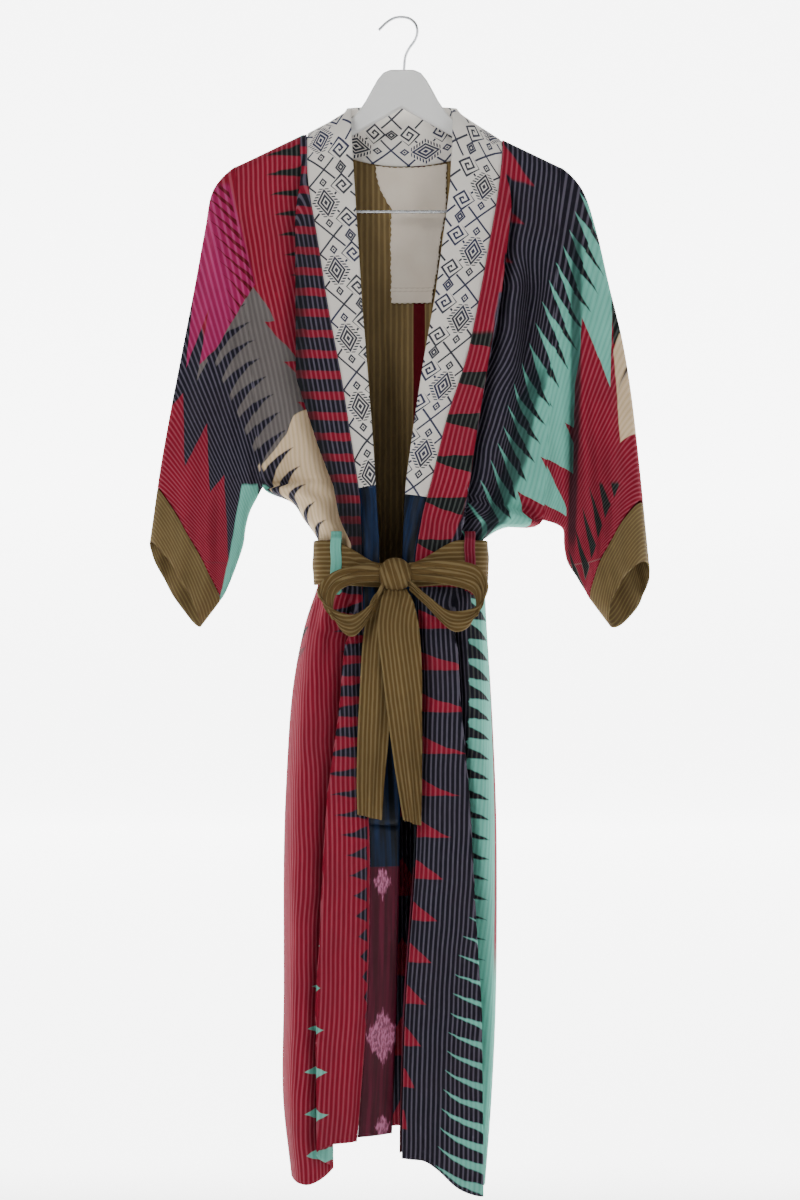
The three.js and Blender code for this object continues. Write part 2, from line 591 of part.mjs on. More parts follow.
const BAND_PIECES = [
  ["wine_band_right", 0, WINE_ROWS.length - 1, WINE],
  ["satin_band_right", WINE_ROWS.length - 1, WINE_ROWS.length + satinRows - 1, SATIN],
  ["collar_right", WINE_ROWS.length + satinRows - 1, rightNeck, COLLAR_WHITE],
  ["collar_back", rightNeck, leftNeck, COLLAR_WHITE],
  ["collar_left", leftNeck, leftNeck + collarRows + 1, COLLAR_WHITE],
  ["satin_band_left", leftNeck + collarRows + 1, leftNeck + collarRows + satinRows + 1, SATIN],
  ["wine_band_left", leftNeck + collarRows + satinRows + 1, bandStrip.length - 1, WINE],
];
for (const [name, from, to, color] of BAND_PIECES) {
  const part = stretchOf(bandStrip, bandNormals, from, to, from > 0, to < bandStrip.length - 1);
  const wall = color === COLLAR_WHITE ? DOUBLE_CLOTH : CLOTH;
  add(name, wallSolid(part.points, wall, { away: -1, normals: part.normals }), color, 0.6);
}

// Belt round the waist, from one side of the knot round the back to the other
const KNOT = { x: -8, y: -66.1, z: -668, halfX: 17, halfY: 12, halfZ: 17 };
const BELT_TOP = -628;
const BELT_BOTTOM = -679;
const BELT_TOP_AT_KNOT = -655;
const BELT_BOTTOM_AT_KNOT = -681;
function beltPoint(s, f) {
  const fromKnot = 0.03;
  const angle = -HALF_TURN / 2 + lerp(fromKnot, 2 - fromKnot, s) * HALF_TURN;
  const c = Math.cos(angle);
  const d = Math.sin(angle);
  const depth = d < 0 ? BELT_FRONT : BELT_BACK;
  const r = (Math.abs(c) ** BELT_POWER + Math.abs(d) ** BELT_POWER) ** (-1 / BELT_POWER);
  const x = BELT_MIDDLE_X + BELT_HALF_WIDTH * c * r;
  const y = depth * d * r;
  const away = y < 0 ? smooth((Math.abs(x - KNOT.x) - 16) / 62) : 1;
  const top = lerp(BELT_TOP_AT_KNOT, BELT_TOP, away);
  const bottom = lerp(BELT_BOTTOM_AT_KNOT, BELT_BOTTOM, away);
  const swell = 2 * Math.sin(f * HALF_TURN) + 1.2 * (1 - away) * Math.sin(f * 9);
  return [x + (swell * c) / 1.5, y + swell * d, lerp(bottom, top, f)];
}
const beltGrid = range(0, 1, 40).map((s) => range(0, 1, 3).map((f) => beltPoint(s, f)));
add("belt_waist", wallSolid(beltGrid, DOUBLE_CLOTH, { away: -1 }), OLIVE);

// Knot: a soft lump, pinched at its middle
const knotShape = new THREE.SphereGeometry(1, 14, 10);
knotShape.deleteAttribute("normal");
knotShape.deleteAttribute("uv");
const knotPoints = knotShape.getAttribute("position");
for (let i = 0; i < knotPoints.count; i += 1) {
  const [x, y, z] = [knotPoints.getX(i), knotPoints.getY(i), knotPoints.getZ(i)];
  const squared = 1 + 0.12 * (1 - Math.abs(x)) * (1 - Math.abs(z));
  const flat = y > 0 ? 0.9 : 1;
  knotPoints.setXYZ(
    i,
    KNOT.x + x * KNOT.halfX * squared,
    KNOT.y + y * KNOT.halfY * flat,
    KNOT.z + z * KNOT.halfZ * squared,
  );
}
add("belt_knot", knotShape, OLIVE);

// Bow loops and tails: [x, y, z, half width, lean of the width away from upright] along each strip
const LOOPS = {
  right: [
    [-24.5, -74, -675, 9, 0.3], [-44, -84, -700, 15, 0.1], [-66, -84, -714, 18, 0], [-85, -78, -704, 17, 0],
    [-90, -70, -688, 15, 0], [-80, -65, -672, 13, 0], [-56, -64, -664, 12, 0], [-26.5, -66.5, -664, 8, 0],
  ],
  left: [
    [8.5, -74, -675, 9, -0.3], [28, -84, -694, 14, -0.1], [56, -85, -712, 16, 0], [84, -80, -706, 15, 0],
    [94, -71, -690, 14, 0], [84, -66, -674, 12, 0], [52, -65, -664, 11, 0], [10.5, -66.5, -664, 8, 0],
  ],
};
const TAILS = {
  front: [
    [-8, -67.6, -685, 12], [-6, -77, -700, 18], [-4, -82, -732, 23], [0, -82, -780, 22], [3, -81, -830, 19],
    [7, -80, -890, 15], [12, -79, -958, 9],
  ],
  back: [
    [-14.5, -62.5, -684, 9], [-22, -66, -700, 14], [-26, -70, -740, 18], [-30, -72, -800, 18], [-34, -72, -860, 17],
    [-37, -72, -910, 15], [-38, -72, -952, 13],
  ],
};
for (const [side, rows] of Object.entries(LOOPS)) {
  const grid = range(0, rows.length - 1, 20).map((k) => {
    const [x, y, z, half, lean] = readRows(rows, k);
    return range(-1, 1, 3).map((f) => [x + f * half * Math.sin(lean), y, z + f * half * Math.cos(lean)]);
  });
  const away = side === "right" ? -1 : 1;
  add("bow_loop_" + side, wallSolid(grid, DOUBLE_CLOTH, { away }), OLIVE);
}
for (const [name, rows] of Object.entries(TAILS)) {
  const grid = range(0, rows.length - 1, 16).map((k) => {
    const [x, y, z, half] = readRows(rows, k);
    const crease = 3 * smooth(k / 2);
    return range(-1, 1, 6).map((f) => [x + f * half, y - crease * Math.cos(f * 4.4), z - 3 * f * smooth(k - 5)]);
  });
  add("belt_tail_" + name, wallSolid(grid, DOUBLE_CLOTH, { away: 1 }), OLIVE);
}

// Belt carriers: narrow strips that cross the belt's outside, sewn to the fronts above and below it
const CARRIER_HALF = 6;
const CARRIER_WALL = 1.4;
const CARRIER_GAP = 0.35;
const CARRIERS = { right: -78, left: 80 };
// Height, and how far the strip has come from the front (0) to the belt's face (1)
const CARRIER_PROFILE = [
  [-617, 0], [-622, 0.4], [-626, 1], [-640, 1], [-654, 1], [-668, 1], [-682, 1], [-686, 0.4], [-691, 0],
];
for (const [side, atX] of Object.entries(CARRIERS)) {
  const front = side === "right" ? rightFront : leftFront;
  const reach = CARRIER_HALF + 2;
  const nearY = (points) => Math.min(...points.filter((p) => Math.abs(p[0] - atX) < reach).map((p) => p[1]));
  const beltFace = nearY(range(0, 1, 400).map((u) => beltPoint(u, 0.5)).filter((p) => p[1] < 0)) - DOUBLE_CLOTH - CARRIER_GAP;
  const bodyFace = (z) => {
    let k = 8;
    while (k < 14 && front(k, 0.5)[2] > z) k += 0.02;
    return nearY(range(0, 1, 200).map((t) => front(k, t))) - CARRIER_GAP;
  };
  const grid = CARRIER_PROFILE.map(([z, share]) =>
    range(-CARRIER_HALF, CARRIER_HALF, 2).map((d) => [atX + d, lerp(bodyFace(z), beltFace, share), z]),
  );
  add("carrier_" + side, wallSolid(grid, CARRIER_WALL, { away: -1 }), STRIPED_RED);
}

// Hanger: a painted body with a rounded hump, its hook and the thin bar under it
const hangerOutline = new THREE.Shape();
const HUMP_TOP = -62;
const ARM_SLOPE_IN = [-115, -146.4];
const ARM_TIP = [-205, -194];
hangerOutline.moveTo(0, HUMP_TOP);
hangerOutline.lineTo(-14, HUMP_TOP);
hangerOutline.bezierCurveTo(-30, HUMP_TOP - 1, -36, -92, -52, -112);
hangerOutline.bezierCurveTo(-62, -126, -90, -135, ...ARM_SLOPE_IN);
hangerOutline.lineTo(-190, -180);
hangerOutline.quadraticCurveTo(-201, -185, ...ARM_TIP);
hangerOutline.quadraticCurveTo(-207, -203, -196, -205);
hangerOutline.bezierCurveTo(-150, -192, -100, -166, -62, -142);
hangerOutline.quadraticCurveTo(-30, -124, 0, -107);
hangerOutline.quadraticCurveTo(30, -124, 62, -142);
hangerOutline.bezierCurveTo(100, -166, 145, -192, 188, -206);
hangerOutline.quadraticCurveTo(199, -204, 197, -196);
hangerOutline.quadraticCurveTo(194, -187, 182, -181);
hangerOutline.lineTo(121, -154);
hangerOutline.bezierCurveTo(92, -140, 62, -126, 52, -112);
hangerOutline.bezierCurveTo(36, -92, 30, HUMP_TOP - 1, 14, HUMP_TOP);
hangerOutline.closePath();
const HANGER_BEVEL = 2;
const hangerBody = new THREE.ExtrudeGeometry(hangerOutline, {
  depth: 2 * (ARM_HALF_THICKNESS - HANGER_BEVEL),
  bevelEnabled: true,
  bevelThickness: HANGER_BEVEL,
  bevelSize: HANGER_BEVEL,
  bevelOffset: -HANGER_BEVEL,
  bevelSegments: 1,
  curveSegments: 5,
});
hangerBody.translate(0, 0, -(ARM_HALF_THICKNESS - HANGER_BEVEL));
hangerBody.rotateX(HALF_TURN / 2);
add("hanger_body", hangerBody, PAINT, 0.25);

// Round wire along a path of points
function wire(points, diameter, sides, steps) {
  const circle = new THREE.Shape();
  circle.absarc(0, 0, diameter / 2, 0, 2 * HALF_TURN, false);
  const path = new THREE.CatmullRomCurve3(points.map((p) => new THREE.Vector3(...p)), false, "centripetal");
  return new THREE.ExtrudeGeometry(circle, { steps, curveSegments: sides / 2, bevelEnabled: false, extrudePath: path });
}
const hookTop = HOOK_WIRE / 2;
const HOOK_POINTS = [
  [-28, 0, -14], [-18, 0, -4.5], [-9, 0, 0.6], [0, 0, hookTop], [10, 0, -0.6], [16.5, 0, -7], [18.5, 0, -16],
  [15.5, 0, -26], [8.5, 0, -36], [4, 0, -46], [2.5, 0, -61.55],
];
add("hanger_hook", wire(HOOK_POINTS, HOOK_WIRE, 8, 30), STEEL, 0.25, 1);
const BAR_Z = -232;
const BAR_POINTS = [
  [-190, 0, -204.05], [-190.5, 0, -219], [-188, 0, -228], [-178, 0, BAR_Z], [-90, 0, BAR_Z], [90, 0, BAR_Z],
  [170, 0, BAR_Z], [180, 0, -228], [182.5, 0, -219], [182, 0, -204.95],
];
add("hanger_bar", wire(BAR_POINTS, BAR_WIRE, 8, 26), STEEL, 0.3, 1);

export default group;
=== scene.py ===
# A long kimono jacket of patched striped cloth on a hanger: its cloth, its colours and the studio around it.
# Sizes are written in millimetres and turned into metres when a mesh is made. The front faces -Y.
import math

import bpy
import numpy as np
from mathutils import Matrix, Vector


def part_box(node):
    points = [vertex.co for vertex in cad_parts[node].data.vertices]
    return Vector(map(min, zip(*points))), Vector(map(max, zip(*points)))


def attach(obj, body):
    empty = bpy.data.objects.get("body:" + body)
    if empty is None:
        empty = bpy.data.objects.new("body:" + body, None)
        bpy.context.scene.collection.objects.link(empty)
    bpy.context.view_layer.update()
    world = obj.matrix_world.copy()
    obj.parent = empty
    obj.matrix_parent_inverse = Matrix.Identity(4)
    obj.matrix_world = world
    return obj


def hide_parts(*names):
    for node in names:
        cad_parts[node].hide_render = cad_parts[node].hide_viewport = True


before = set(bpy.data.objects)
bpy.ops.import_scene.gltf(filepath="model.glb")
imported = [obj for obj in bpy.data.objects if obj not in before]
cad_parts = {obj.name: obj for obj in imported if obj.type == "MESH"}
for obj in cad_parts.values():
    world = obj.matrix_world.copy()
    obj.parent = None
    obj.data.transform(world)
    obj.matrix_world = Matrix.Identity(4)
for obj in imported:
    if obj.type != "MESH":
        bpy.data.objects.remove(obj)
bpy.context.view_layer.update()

# Sizes shared with the solids
CLOTH = 1.6
DOUBLE_CLOTH = 2.4
SEAM_GAP = 0.3
SHOULDER_ROUND = 16
UNDERARM_ROUND = 70
ARMHOLE_DEPTH_TOP = 14
ARMHOLE_DEPTH_MID = 24
NECK_DEPTH = 22
NECK_SHARE = 0.6
SIDE_ROUND = 32
WAIST_Z = -654
UNDERARM_ROW = 7
FOLD_FADE = 70

# Each row of a front panel: innerX, innerZ, outerX, outerZ, depth at the opening edge, and halfway.
FRONT_RIGHT_ROWS = np.array([
    [-115, -139, -199, -178, 13, 14], [-114, -158, -198, -194, 15, 17], [-112, -201, -196, -236, 22, 22],
    [-100, -274, -191, -302, 28, 27], [-88, -350, -184, -374, 32, 31], [-72, -435, -178, -448, 37, 36],
    [-60, -512, -171, -518, 40, 40], [-54, -550, -167, -563, 42, 42], [-50, -578, -132, -581, 43, 44],
    [-49, -602, -118, -601, 44, 45], [-48, -627, -101, -626, 45, 45], [-48, -652, -99, -652, 45, 45],
    [-47, -676, -100, -676, 46, 45], [-46, -733, -118, -733, 50, 52], [-44, -811, -132, -811, 53, 58],
    [-41, -914, -139, -914, 56, 62], [-38, -1012, -142, -1012, 58, 66], [-41, -1166, -142, -1166, 60, 70],
    [-49, -1286, -143, -1286, 62, 72], [-53, -1334, -133, -1384, 62, 72],
], float)
FRONT_LEFT_ROWS = np.array([
    [121, -146, 190, -179, 13, 14], [120, -170, 188, -200, 15, 17], [114, -217, 186, -244, 22, 22],
    [104, -274, 184, -302, 28, 27], [92, -339, 180, -368, 32, 31], [77, -410, 176, -440, 37, 36],
    [54, -481, 174, -512, 40, 40], [36, -554, 169, -602, 42, 42], [26, -590, 124, -611, 43, 44],
    [22, -611, 104, -621, 44, 45], [19, -627, 94, -632, 45, 45], [16, -652, 96, -652, 45, 45],
    [18, -676, 99, -678, 46, 45], [20, -733, 102, -733, 50, 52], [23, -811, 107, -811, 53, 58],
    [19, -914, 112, -914, 56, 62], [16, -1012, 114, -1012, 58, 66], [5, -1166, 113, -1166, 60, 70],
    [1, -1286, 108, -1286, 62, 72], [0, -1354, 100, -1395, 62, 72],
], float)
# The back at the same rows: how far its middle dips below the line of the fronts, and its depth.
BACK_ROWS = np.array([
    [28, 14], [24, 17], [14, 22], [4, 26], [0, 29], [0, 32], [0, 35], [0, 37], [0, 40], [0, 43], [0, 45],
    [0, 45], [0, 46], [0, 52], [0, 56], [0, 60], [0, 63], [0, 66], [0, 67], [0, 67],
], float)
LAST_ROW = len(FRONT_RIGHT_ROWS) - 1

# Laps: (path of [z, x], overlap, step down, reach along the cloth)
RIGHT_LAPS = [
    ([[-185, -120], [-266, -118], [-434, -117], [-515, -91], [-565, -72], [-629, -60]], 18, 20, 15),
    ([[-725, -57], [-832, -66], [-924, -79], [-962, -82], [-1178, -93], [-1384, -91]], 18, 22, 15),
]
LEFT_LAPS = [
    ([[-205, 128], [-340, 112], [-458, 90], [-550, 76], [-629, 66]], 14, 18, 14),
    ([[-725, 57], [-809, 61], [-924, 72], [-1078, 80], [-1178, 86], [-1395, 88]], 16, 20, 14),
]
# Soft folds: (path of [z, share of the panel's width], height, width)
RIGHT_SOFT = [
    ([[-725, 0.1], [-1334, 0.16]], 5, 16),
    ([[-725, 0.8], [-1384, 0.84]], 7, 14),
    ([[-230, 0.72], [-560, 0.8]], -5, 22),
]
LEFT_SOFT = [
    ([[-725, 0.12], [-1354, 0.2]], 6, 17),
    ([[-725, 0.42], [-1380, 0.46]], -6, 15),
    ([[-230, 0.75], [-560, 0.8]], -6, 22),
]
BACK_SOFT = [
    ([[-725, -0.72], [-1384, -0.7]], 10, 20),
    ([[-730, -0.36], [-1384, -0.34]], -12, 24),
    ([[-725, -0.02], [-1384, 0.03]], 12, 26),
    ([[-730, 0.34], [-1384, 0.38]], -11, 22),
    ([[-725, 0.7], [-1384, 0.72]], 10, 20),
    ([[-330, -0.5], [-620, -0.3]], -6, 30),
    ([[-330, 0.5], [-620, 0.3]], -6, 30),
    ([[-280, 0.02], [-620, 0]], 5, 34),
]
# Valleys that lie in shadow beside the laps: (path of [z, x], depth, width)
RIGHT_VALLEYS = [
    ([[-230, -124], [-434, -126], [-515, -102], [-565, -83], [-618, -71]], 15, 8),
    ([[-705, -66], [-832, -76], [-950, -91], [-1178, -103], [-1384, -101]], 16, 8),
]
LEFT_VALLEYS = [
    ([[-240, 134], [-340, 121], [-458, 99], [-550, 85], [-618, 76]], 12, 9),
    ([[-300, 158], [-420, 150], [-520, 132], [-612, 94]], 17, 12),
    ([[-705, 67], [-811, 72], [-924, 82], [-1010, 88], [-1178, 96], [-1395, 97]], 15, 8),
]
# Small creases placed on the cloth: (x, z) to (x, z), height, width
RIGHT_CREASES = [
    ((-150, -205), (-168, -420), 2.4, 9), ((-176, -230), (-182, -400), -2.2, 10),
    ((-140, -500), (-104, -618), 3.0, 8), ((-120, -470), (-84, -610), -2.6, 9),
    ((-160, -560), (-112, -622), 2.6, 7), ((-92, -690), (-112, -900), 2.6, 9),
    ((-124, -700), (-130, -1040), -2.4, 10), ((-60, -700), (-58, -990), 2.2, 10),
    ((-118, -1000), (-122, -1370), 2.6, 11), ((-70, -1010), (-76, -1330), -2.6, 12),
    ((-56, -1120), (-60, -1330), 2.2, 9), ((-105, -690), (-88, -760), -2.4, 7),
]
LEFT_CREASES = [
    ((138, -215), (128, -430), 2.4, 10), ((160, -230), (142, -480), -2.6, 11),
    ((176, -250), (166, -470), 2.2, 9), ((150, -520), (92, -622), 3.0, 9),
    ((120, -500), (82, -612), -2.6, 9), ((160, -575), (100, -624), 2.4, 7),
    ((52, -520), (40, -620), 2.4, 8), ((60, -690), (62, -900), -2.4, 9), ((88, -690), (98, -980), 2.6, 9),
    ((40, -720), (38, -1060), 2.2, 11), ((60, -900), (64, -1370), 2.4, 12),
    ((96, -1040), (100, -1385), -2.6, 9), ((28, -1060), (22, -1350), -2.0, 10),
]
BACK_CREASES = [
    ((-120, -240), (-60, -520), 2.6, 16), ((120, -240), (60, -520), 2.6, 16),
    ((-30, -300), (-20, -600), -2.2, 13), ((35, -320), (26, -600), 2.2, 12),
    ((-150, -420), (-90, -610), -3, 12), ((150, -420), (90, -610), -3, 12),
    ((-70, -700), (-82, -1100), 3, 12), ((80, -700), (92, -1100), 3, 12), ((0, -760), (8, -1360), -3, 14),
    ((-110, -900), (-118, -1370), -3, 12), ((40, -900), (46, -1380), 3, 13),
    ((-40, -1000), (-46, -1370), 3, 12),
]

# Sleeves: topX, topZ, underX, underZ, half depth, skew of front to back
RIGHT_SLEEVE_RINGS = np.array([
    [-199, -178, -167, -563, 0, 0], [-226, -206, -175, -578, 22, 0], [-236, -254, -182, -592, 21, 0],
    [-248, -320, -187, -611, 20, 0], [-262, -392, -190, -632, 18, 0], [-276, -464, -199, -659, 17, 2],
    [-287, -524, -209, -684, 16, 4], [-293, -562, -217, -698, 15, 6], [-302, -628, -241, -730, 17, 10],
], float)
LEFT_SLEEVE_RINGS = np.array([
    [190, -179, 169, -602, 0, 0], [216, -206, 185, -607, 22, 0], [233, -256, 193, -614, 21, 0],
    [248, -320, 194, -632, 20, 1], [264, -386, 198, -652, 18, 3], [275, -452, 209, -670, 18, 6],
    [283, -524, 220, -688, 20, 10], [288, -578, 226, -698, 23, 14], [294, -652, 250, -730, 28, 18],
], float)
CUFF_SEAM_RING = 7
RIGHT_SLEEVE_CREASES = [
    ((-205, -230), (-238, -560), 3.4, 15), ((-228, -250), (-268, -560), -3.2, 13),
    ((-192, -330), (-212, -560), -3.6, 12), ((-214, -470), (-224, -705), -11, 10),
    ((-232, -520), (-246, -700), 3.6, 13), ((-200, -420), (-204, -600), 3.2, 12),
    ((-262, -480), (-276, -640), 2.8, 12), ((-186, -300), (-190, -470), 2.4, 12),
]
LEFT_SLEEVE_CREASES = [
    ((209, -250), (204, -610), -14, 9), ((226, -260), (228, -560), 3.6, 15),
    ((196, -300), (186, -560), 3.4, 13), ((246, -400), (262, -590), 4.6, 12),
    ((252, -330), (268, -500), -2.6, 11), ((226, -560), (240, -690), 3.4, 14),
    ((212, -520), (222, -680), -3.2, 12), ((240, -480), (250, -640), -3.0, 11),
]

# The band's free edge at each row of the front's edge: row, x, y, z
RIGHT_FREE_EDGE = np.array([
    [0, -60, 12, -106], [0.1, -60, 3, -106.5], [0.4, -61, -9, -110], [0.8, -61, -17, -122],
    [1.2, -60, -24, -144], [2, -57, -31, -196], [3, -52, -38, -272], [4, -47, -42, -350],
    [5, -40, -46, -435], [6, -34, -49, -512], [8, -30, -51, -578], [10, -27, -48, -627],
    [12, -26, -46, -676], [13, -20, -42, -733], [14, -10, -42, -811], [15, -2, -46, -914],
    [16, -3, -48, -1012], [17, -6, -48, -1166], [18, -10, -48, -1286], [19, -12, -48, -1332],
], float)
LEFT_FREE_EDGE = np.array([
    [0, 60, 12, -106], [0.1, 60, 3, -106.5], [0.4, 61, -9, -110], [0.8, 61, -17, -122],
    [1.2, 60, -24, -146], [2, 57, -31, -206], [3, 48, -38, -272], [4, 39, -42, -339], [5, 26, -46, -410],
    [6, 15, -49, -481], [7, 5, -50, -554], [8, 2, -51, -590], [10, 1, -48, -627], [11, 0, -46, -652],
    [19, 0, -46, -1354],
], float)
TURNED_FROM = 11.2
TURNED_BY = 12.6
TURNED_REACH = 34
TURNED_DROP = 13


# Helpers on numbers
def clamp01(v):
    return np.clip(v, 0, 1)


def lerp(a, b, t):
    return a + (b - a) * t


def smooth(t):
    c = clamp01(t)
    return c * c * (3 - 2 * c)


def quarter_round(d, reach):
    return np.sqrt(1 - (1 - clamp01(d / reach)) ** 2)


def read_rows(rows, k):
    """A table read between its rows, smoothly."""
    i = int(min(len(rows) - 2, max(0, math.floor(k))))
    f = k - i
    a = rows[i]
    b = rows[i + 1]
    m1 = (b - rows[i - 1]) / 2 if i > 0 else b - a
    m2 = (rows[i + 2] - a) / 2 if i + 2 < len(rows) else b - a
    f2 = f * f
    f3 = f2 * f
    return (2 * f3 - 3 * f2 + 1) * a + (f3 - 2 * f2 + f) * m1 + (3 * f2 - 2 * f3) * b + (f3 - f2) * m2


def far_along(line):
    """How far each point of a line lies from the first, along the line."""
    return np.concatenate([[0], np.cumsum(np.linalg.norm(np.diff(line, axis=0), axis=1))])


def down_path(path, z):
    """The value on a path of [z, value] points, z falling."""
    points = np.array(path[::-1], float)
    return np.interp(z, points[:, 0], points[:, 1])


def fold_strength(path, z):
    """1 along a fold, falling to nothing at its ends. A fold that reaches the hem runs out over it."""
    top, bottom = path[0][0], path[-1][0]
    runs_out = 1 if bottom < -1300 else smooth((z - bottom + FOLD_FADE / 2) / FOLD_FADE)
    return smooth((top + FOLD_FADE / 2 - z) / FOLD_FADE) * runs_out


def armhole_depth(z, top_z, under_z):
    """How far the armhole's seam stands from the middle of the garment's depth."""
    below = top_z - z
    flat = lerp(ARMHOLE_DEPTH_TOP, ARMHOLE_DEPTH_MID, smooth(below / 150))
    return flat * quarter_round(below, SHOULDER_ROUND) * quarter_round(z - under_z, UNDERARM_ROUND)


def gathers(z, along):
    """How far the cloth stands out where the belt gathers it, above and below the belt."""
    away = np.abs(z - WAIST_Z)
    return 3.2 * smooth((away - 20) / 30) * (1 - smooth((away - 45) / 120)) * np.sin(along)


def creased(x, z, creases):
    """How far the cloth stands out at x and z from the small creases given."""
    out = 0
    for (x0, z0), (x1, z1), height, width in creases:
        length = math.hypot(x1 - x0, z1 - z0)
        ax = (x1 - x0) / length
        az = (z1 - z0) / length
        along = ((x - x0) * ax + (z - z0) * az) / length
        wander = 2.5 * np.sin(along * 7 + x0)
        off = ((x - x0) * az - (z - z0) * ax + wander) / width
        uneven = 1 + 0.25 * np.sin(along * 11 + z0)
        ends = smooth((along + 0.05) / 0.3) * smooth((1.05 - along) / 0.3)
        out = out + height * uneven * ends * np.exp(-off * off)
    return out


def slack(x, z):
    """The slight unevenness of hanging cloth."""
    return (
        0.5 * np.sin(x * 0.11 + 1.3 * np.sin(z * 0.021)) * np.sin(z * 0.035 + 0.6)
        + 0.35 * np.sin(x * 0.21 + z * 0.05)
        + 0.25 * np.sin(z * 0.12 + 2 * np.sin(x * 0.06))
    )


# The garment's surfaces
def outer_x(rows, k, table_x, z):
    if k >= UNDERARM_ROW:
        return table_x
    top_x, top_z = rows[0][2:4]
    under_x, under_z = rows[UNDERARM_ROW][2:4]
    return lerp(top_x, under_x, (top_z - z) / (top_z - under_z))


def front_base(rows, k, t):
    ix, iz, table_x, oz, edge, mid = read_rows(rows, k)
    ox = outer_x(rows, k, table_x, oz)
    share = smooth((t - 0.2) / 0.6) if k > UNDERARM_ROW + 5 else t
    below = lerp(rows[0][1] - iz, rows[0][3] - oz, t)
    flat = lerp(edge, mid, smooth(t * 2)) * quarter_round(below, SHOULDER_ROUND)
    if k < UNDERARM_ROW:
        side = armhole_depth(oz, rows[0][3], rows[UNDERARM_ROW][3])
        depth = lerp(flat, side, smooth((t - 0.35) / 0.65))
    else:
        depth = flat * quarter_round((1 - t) * abs(ox - ix), SIDE_ROUND)
    return lerp(ix, ox, t), -depth - SEAM_GAP / 2, lerp(iz, oz, share), ix, ox


def front_line(rows, laps, softs, valleys, creases, k, t):
    """One row of a front: x, y, z, the unfolded x and z, and the thread that each point lies on."""
    bx, by, z, ix, ox = front_base(rows, k, t)
    side = math.copysign(1, ox - ix)
    calm = smooth(k) * smooth(t / 0.08) * smooth((1 - t) / 0.12)
    x = bx.copy()
    y = by.copy()
    for path, lap, step, width in laps:
        q = side * (bx - down_path(path, z)) / width
        pull = fold_strength(path, z) * calm * q * np.exp(-q * q) * 2.33
        x -= side * pull * lap
        y += pull * step / 2
    for path, out, width in softs:
        q = (t - down_path(path, z)) * abs(ox - ix) / width
        y -= fold_strength(path, z) * calm * out * np.exp(-q * q)
    for path, deep, width in valleys:
        q = (bx - down_path(path, z)) / width
        y += fold_strength(path, z) * calm * deep * (1 + 0.2 * np.sin(z * 0.03)) * np.exp(-q * q)
    y -= calm * gathers(z, t * 21)
    clear = 1 - smooth((40 - np.abs(z - WAIST_Z)) / 14)
    y -= calm * clear * (creased(bx, z, creases) + slack(bx, z))
    around = far_along(np.stack([bx, by], 1))
    # The thread lines keep their place on both sides of a lap: what the lap takes up is left out inside it
    threads = far_along(np.stack([x, y], 1))
    lap_path = [point for lap in laps for point in lap[0]]
    past_lap = smooth(0.5 + side * (bx - down_path(lap_path, z)) / 22)
    threads = threads - (threads[-1] - around[-1]) * past_lap
    return np.stack([x, y, z, ix + side * around, z, threads], 1)


def back_line(k, t):
    """One row of the back, t from -1 at the wearer's right to 1, with the same columns as a front's row."""
    right = read_rows(FRONT_RIGHT_ROWS, k)
    left = read_rows(FRONT_LEFT_ROWS, k)
    dip, mid = read_rows(BACK_ROWS, k)
    x = np.zeros_like(t)
    y = np.zeros_like(t)
    z = np.zeros_like(t)
    for rows, row, part in ((FRONT_RIGHT_ROWS, right, t < 0), (FRONT_LEFT_ROWS, left, t >= 0)):
        a = np.abs(t[part])
        iz = row[1]
        oz = row[3]
        ox = outer_x(rows, k, row[2], oz)
        neck_x = math.copysign(1, ox) * lerp(118, abs(ox) * NECK_SHARE, smooth(k / 5))
        in_neck = clamp01(a / NECK_SHARE)
        out_neck = clamp01((a - NECK_SHARE) / (1 - NECK_SHARE))
        middle_z = (right[1] + left[1]) / 2 - dip
        x[part] = np.where(a < NECK_SHARE, neck_x * in_neck, lerp(neck_x, ox, out_neck))
        z[part] = np.where(a < NECK_SHARE, lerp(middle_z, iz, in_neck**2), lerp(iz, oz, out_neck))
        below = lerp(rows[0][1] - iz, rows[0][3] - oz, out_neck)
        shoulder = mid * quarter_round(below, SHOULDER_ROUND)
        hollow = lerp(np.sqrt(1 - in_neck**6), 1, smooth(k))
        neck = lerp(NECK_DEPTH, mid, smooth(k / 4)) * hollow
        depth = np.where(a < NECK_SHARE, lerp(neck, shoulder, in_neck**8), shoulder)
        if k < UNDERARM_ROW:
            side = armhole_depth(oz, rows[0][3], rows[UNDERARM_ROW][3])
            depth = lerp(depth, side, smooth((a - 0.65) / 0.35))
        else:
            depth = depth * quarter_round(abs(ox) * (1 - a), SIDE_ROUND)
        calm = smooth(k) * smooth((1 - a) / 0.12)
        y[part] = depth + SEAM_GAP / 2
        for path, out, width in BACK_SOFT:
            q = (t[part] - down_path(path, z[part])) * abs(ox) / width
            y[part] += fold_strength(path, z[part]) * calm * out * np.exp(-q * q)
        y[part] += calm * gathers(z[part], t[part] * 24)
        clear = 1 - smooth((40 - np.abs(z[part] - WAIST_Z)) / 14)
        y[part] += calm * clear * (creased(x[part], z[part], BACK_CREASES) + slack(x[part], z[part]))
    around = far_along(np.stack([x, y], 1))
    around -= np.interp(0, t, around)
    return np.stack([x, y, z, around, z, around], 1)


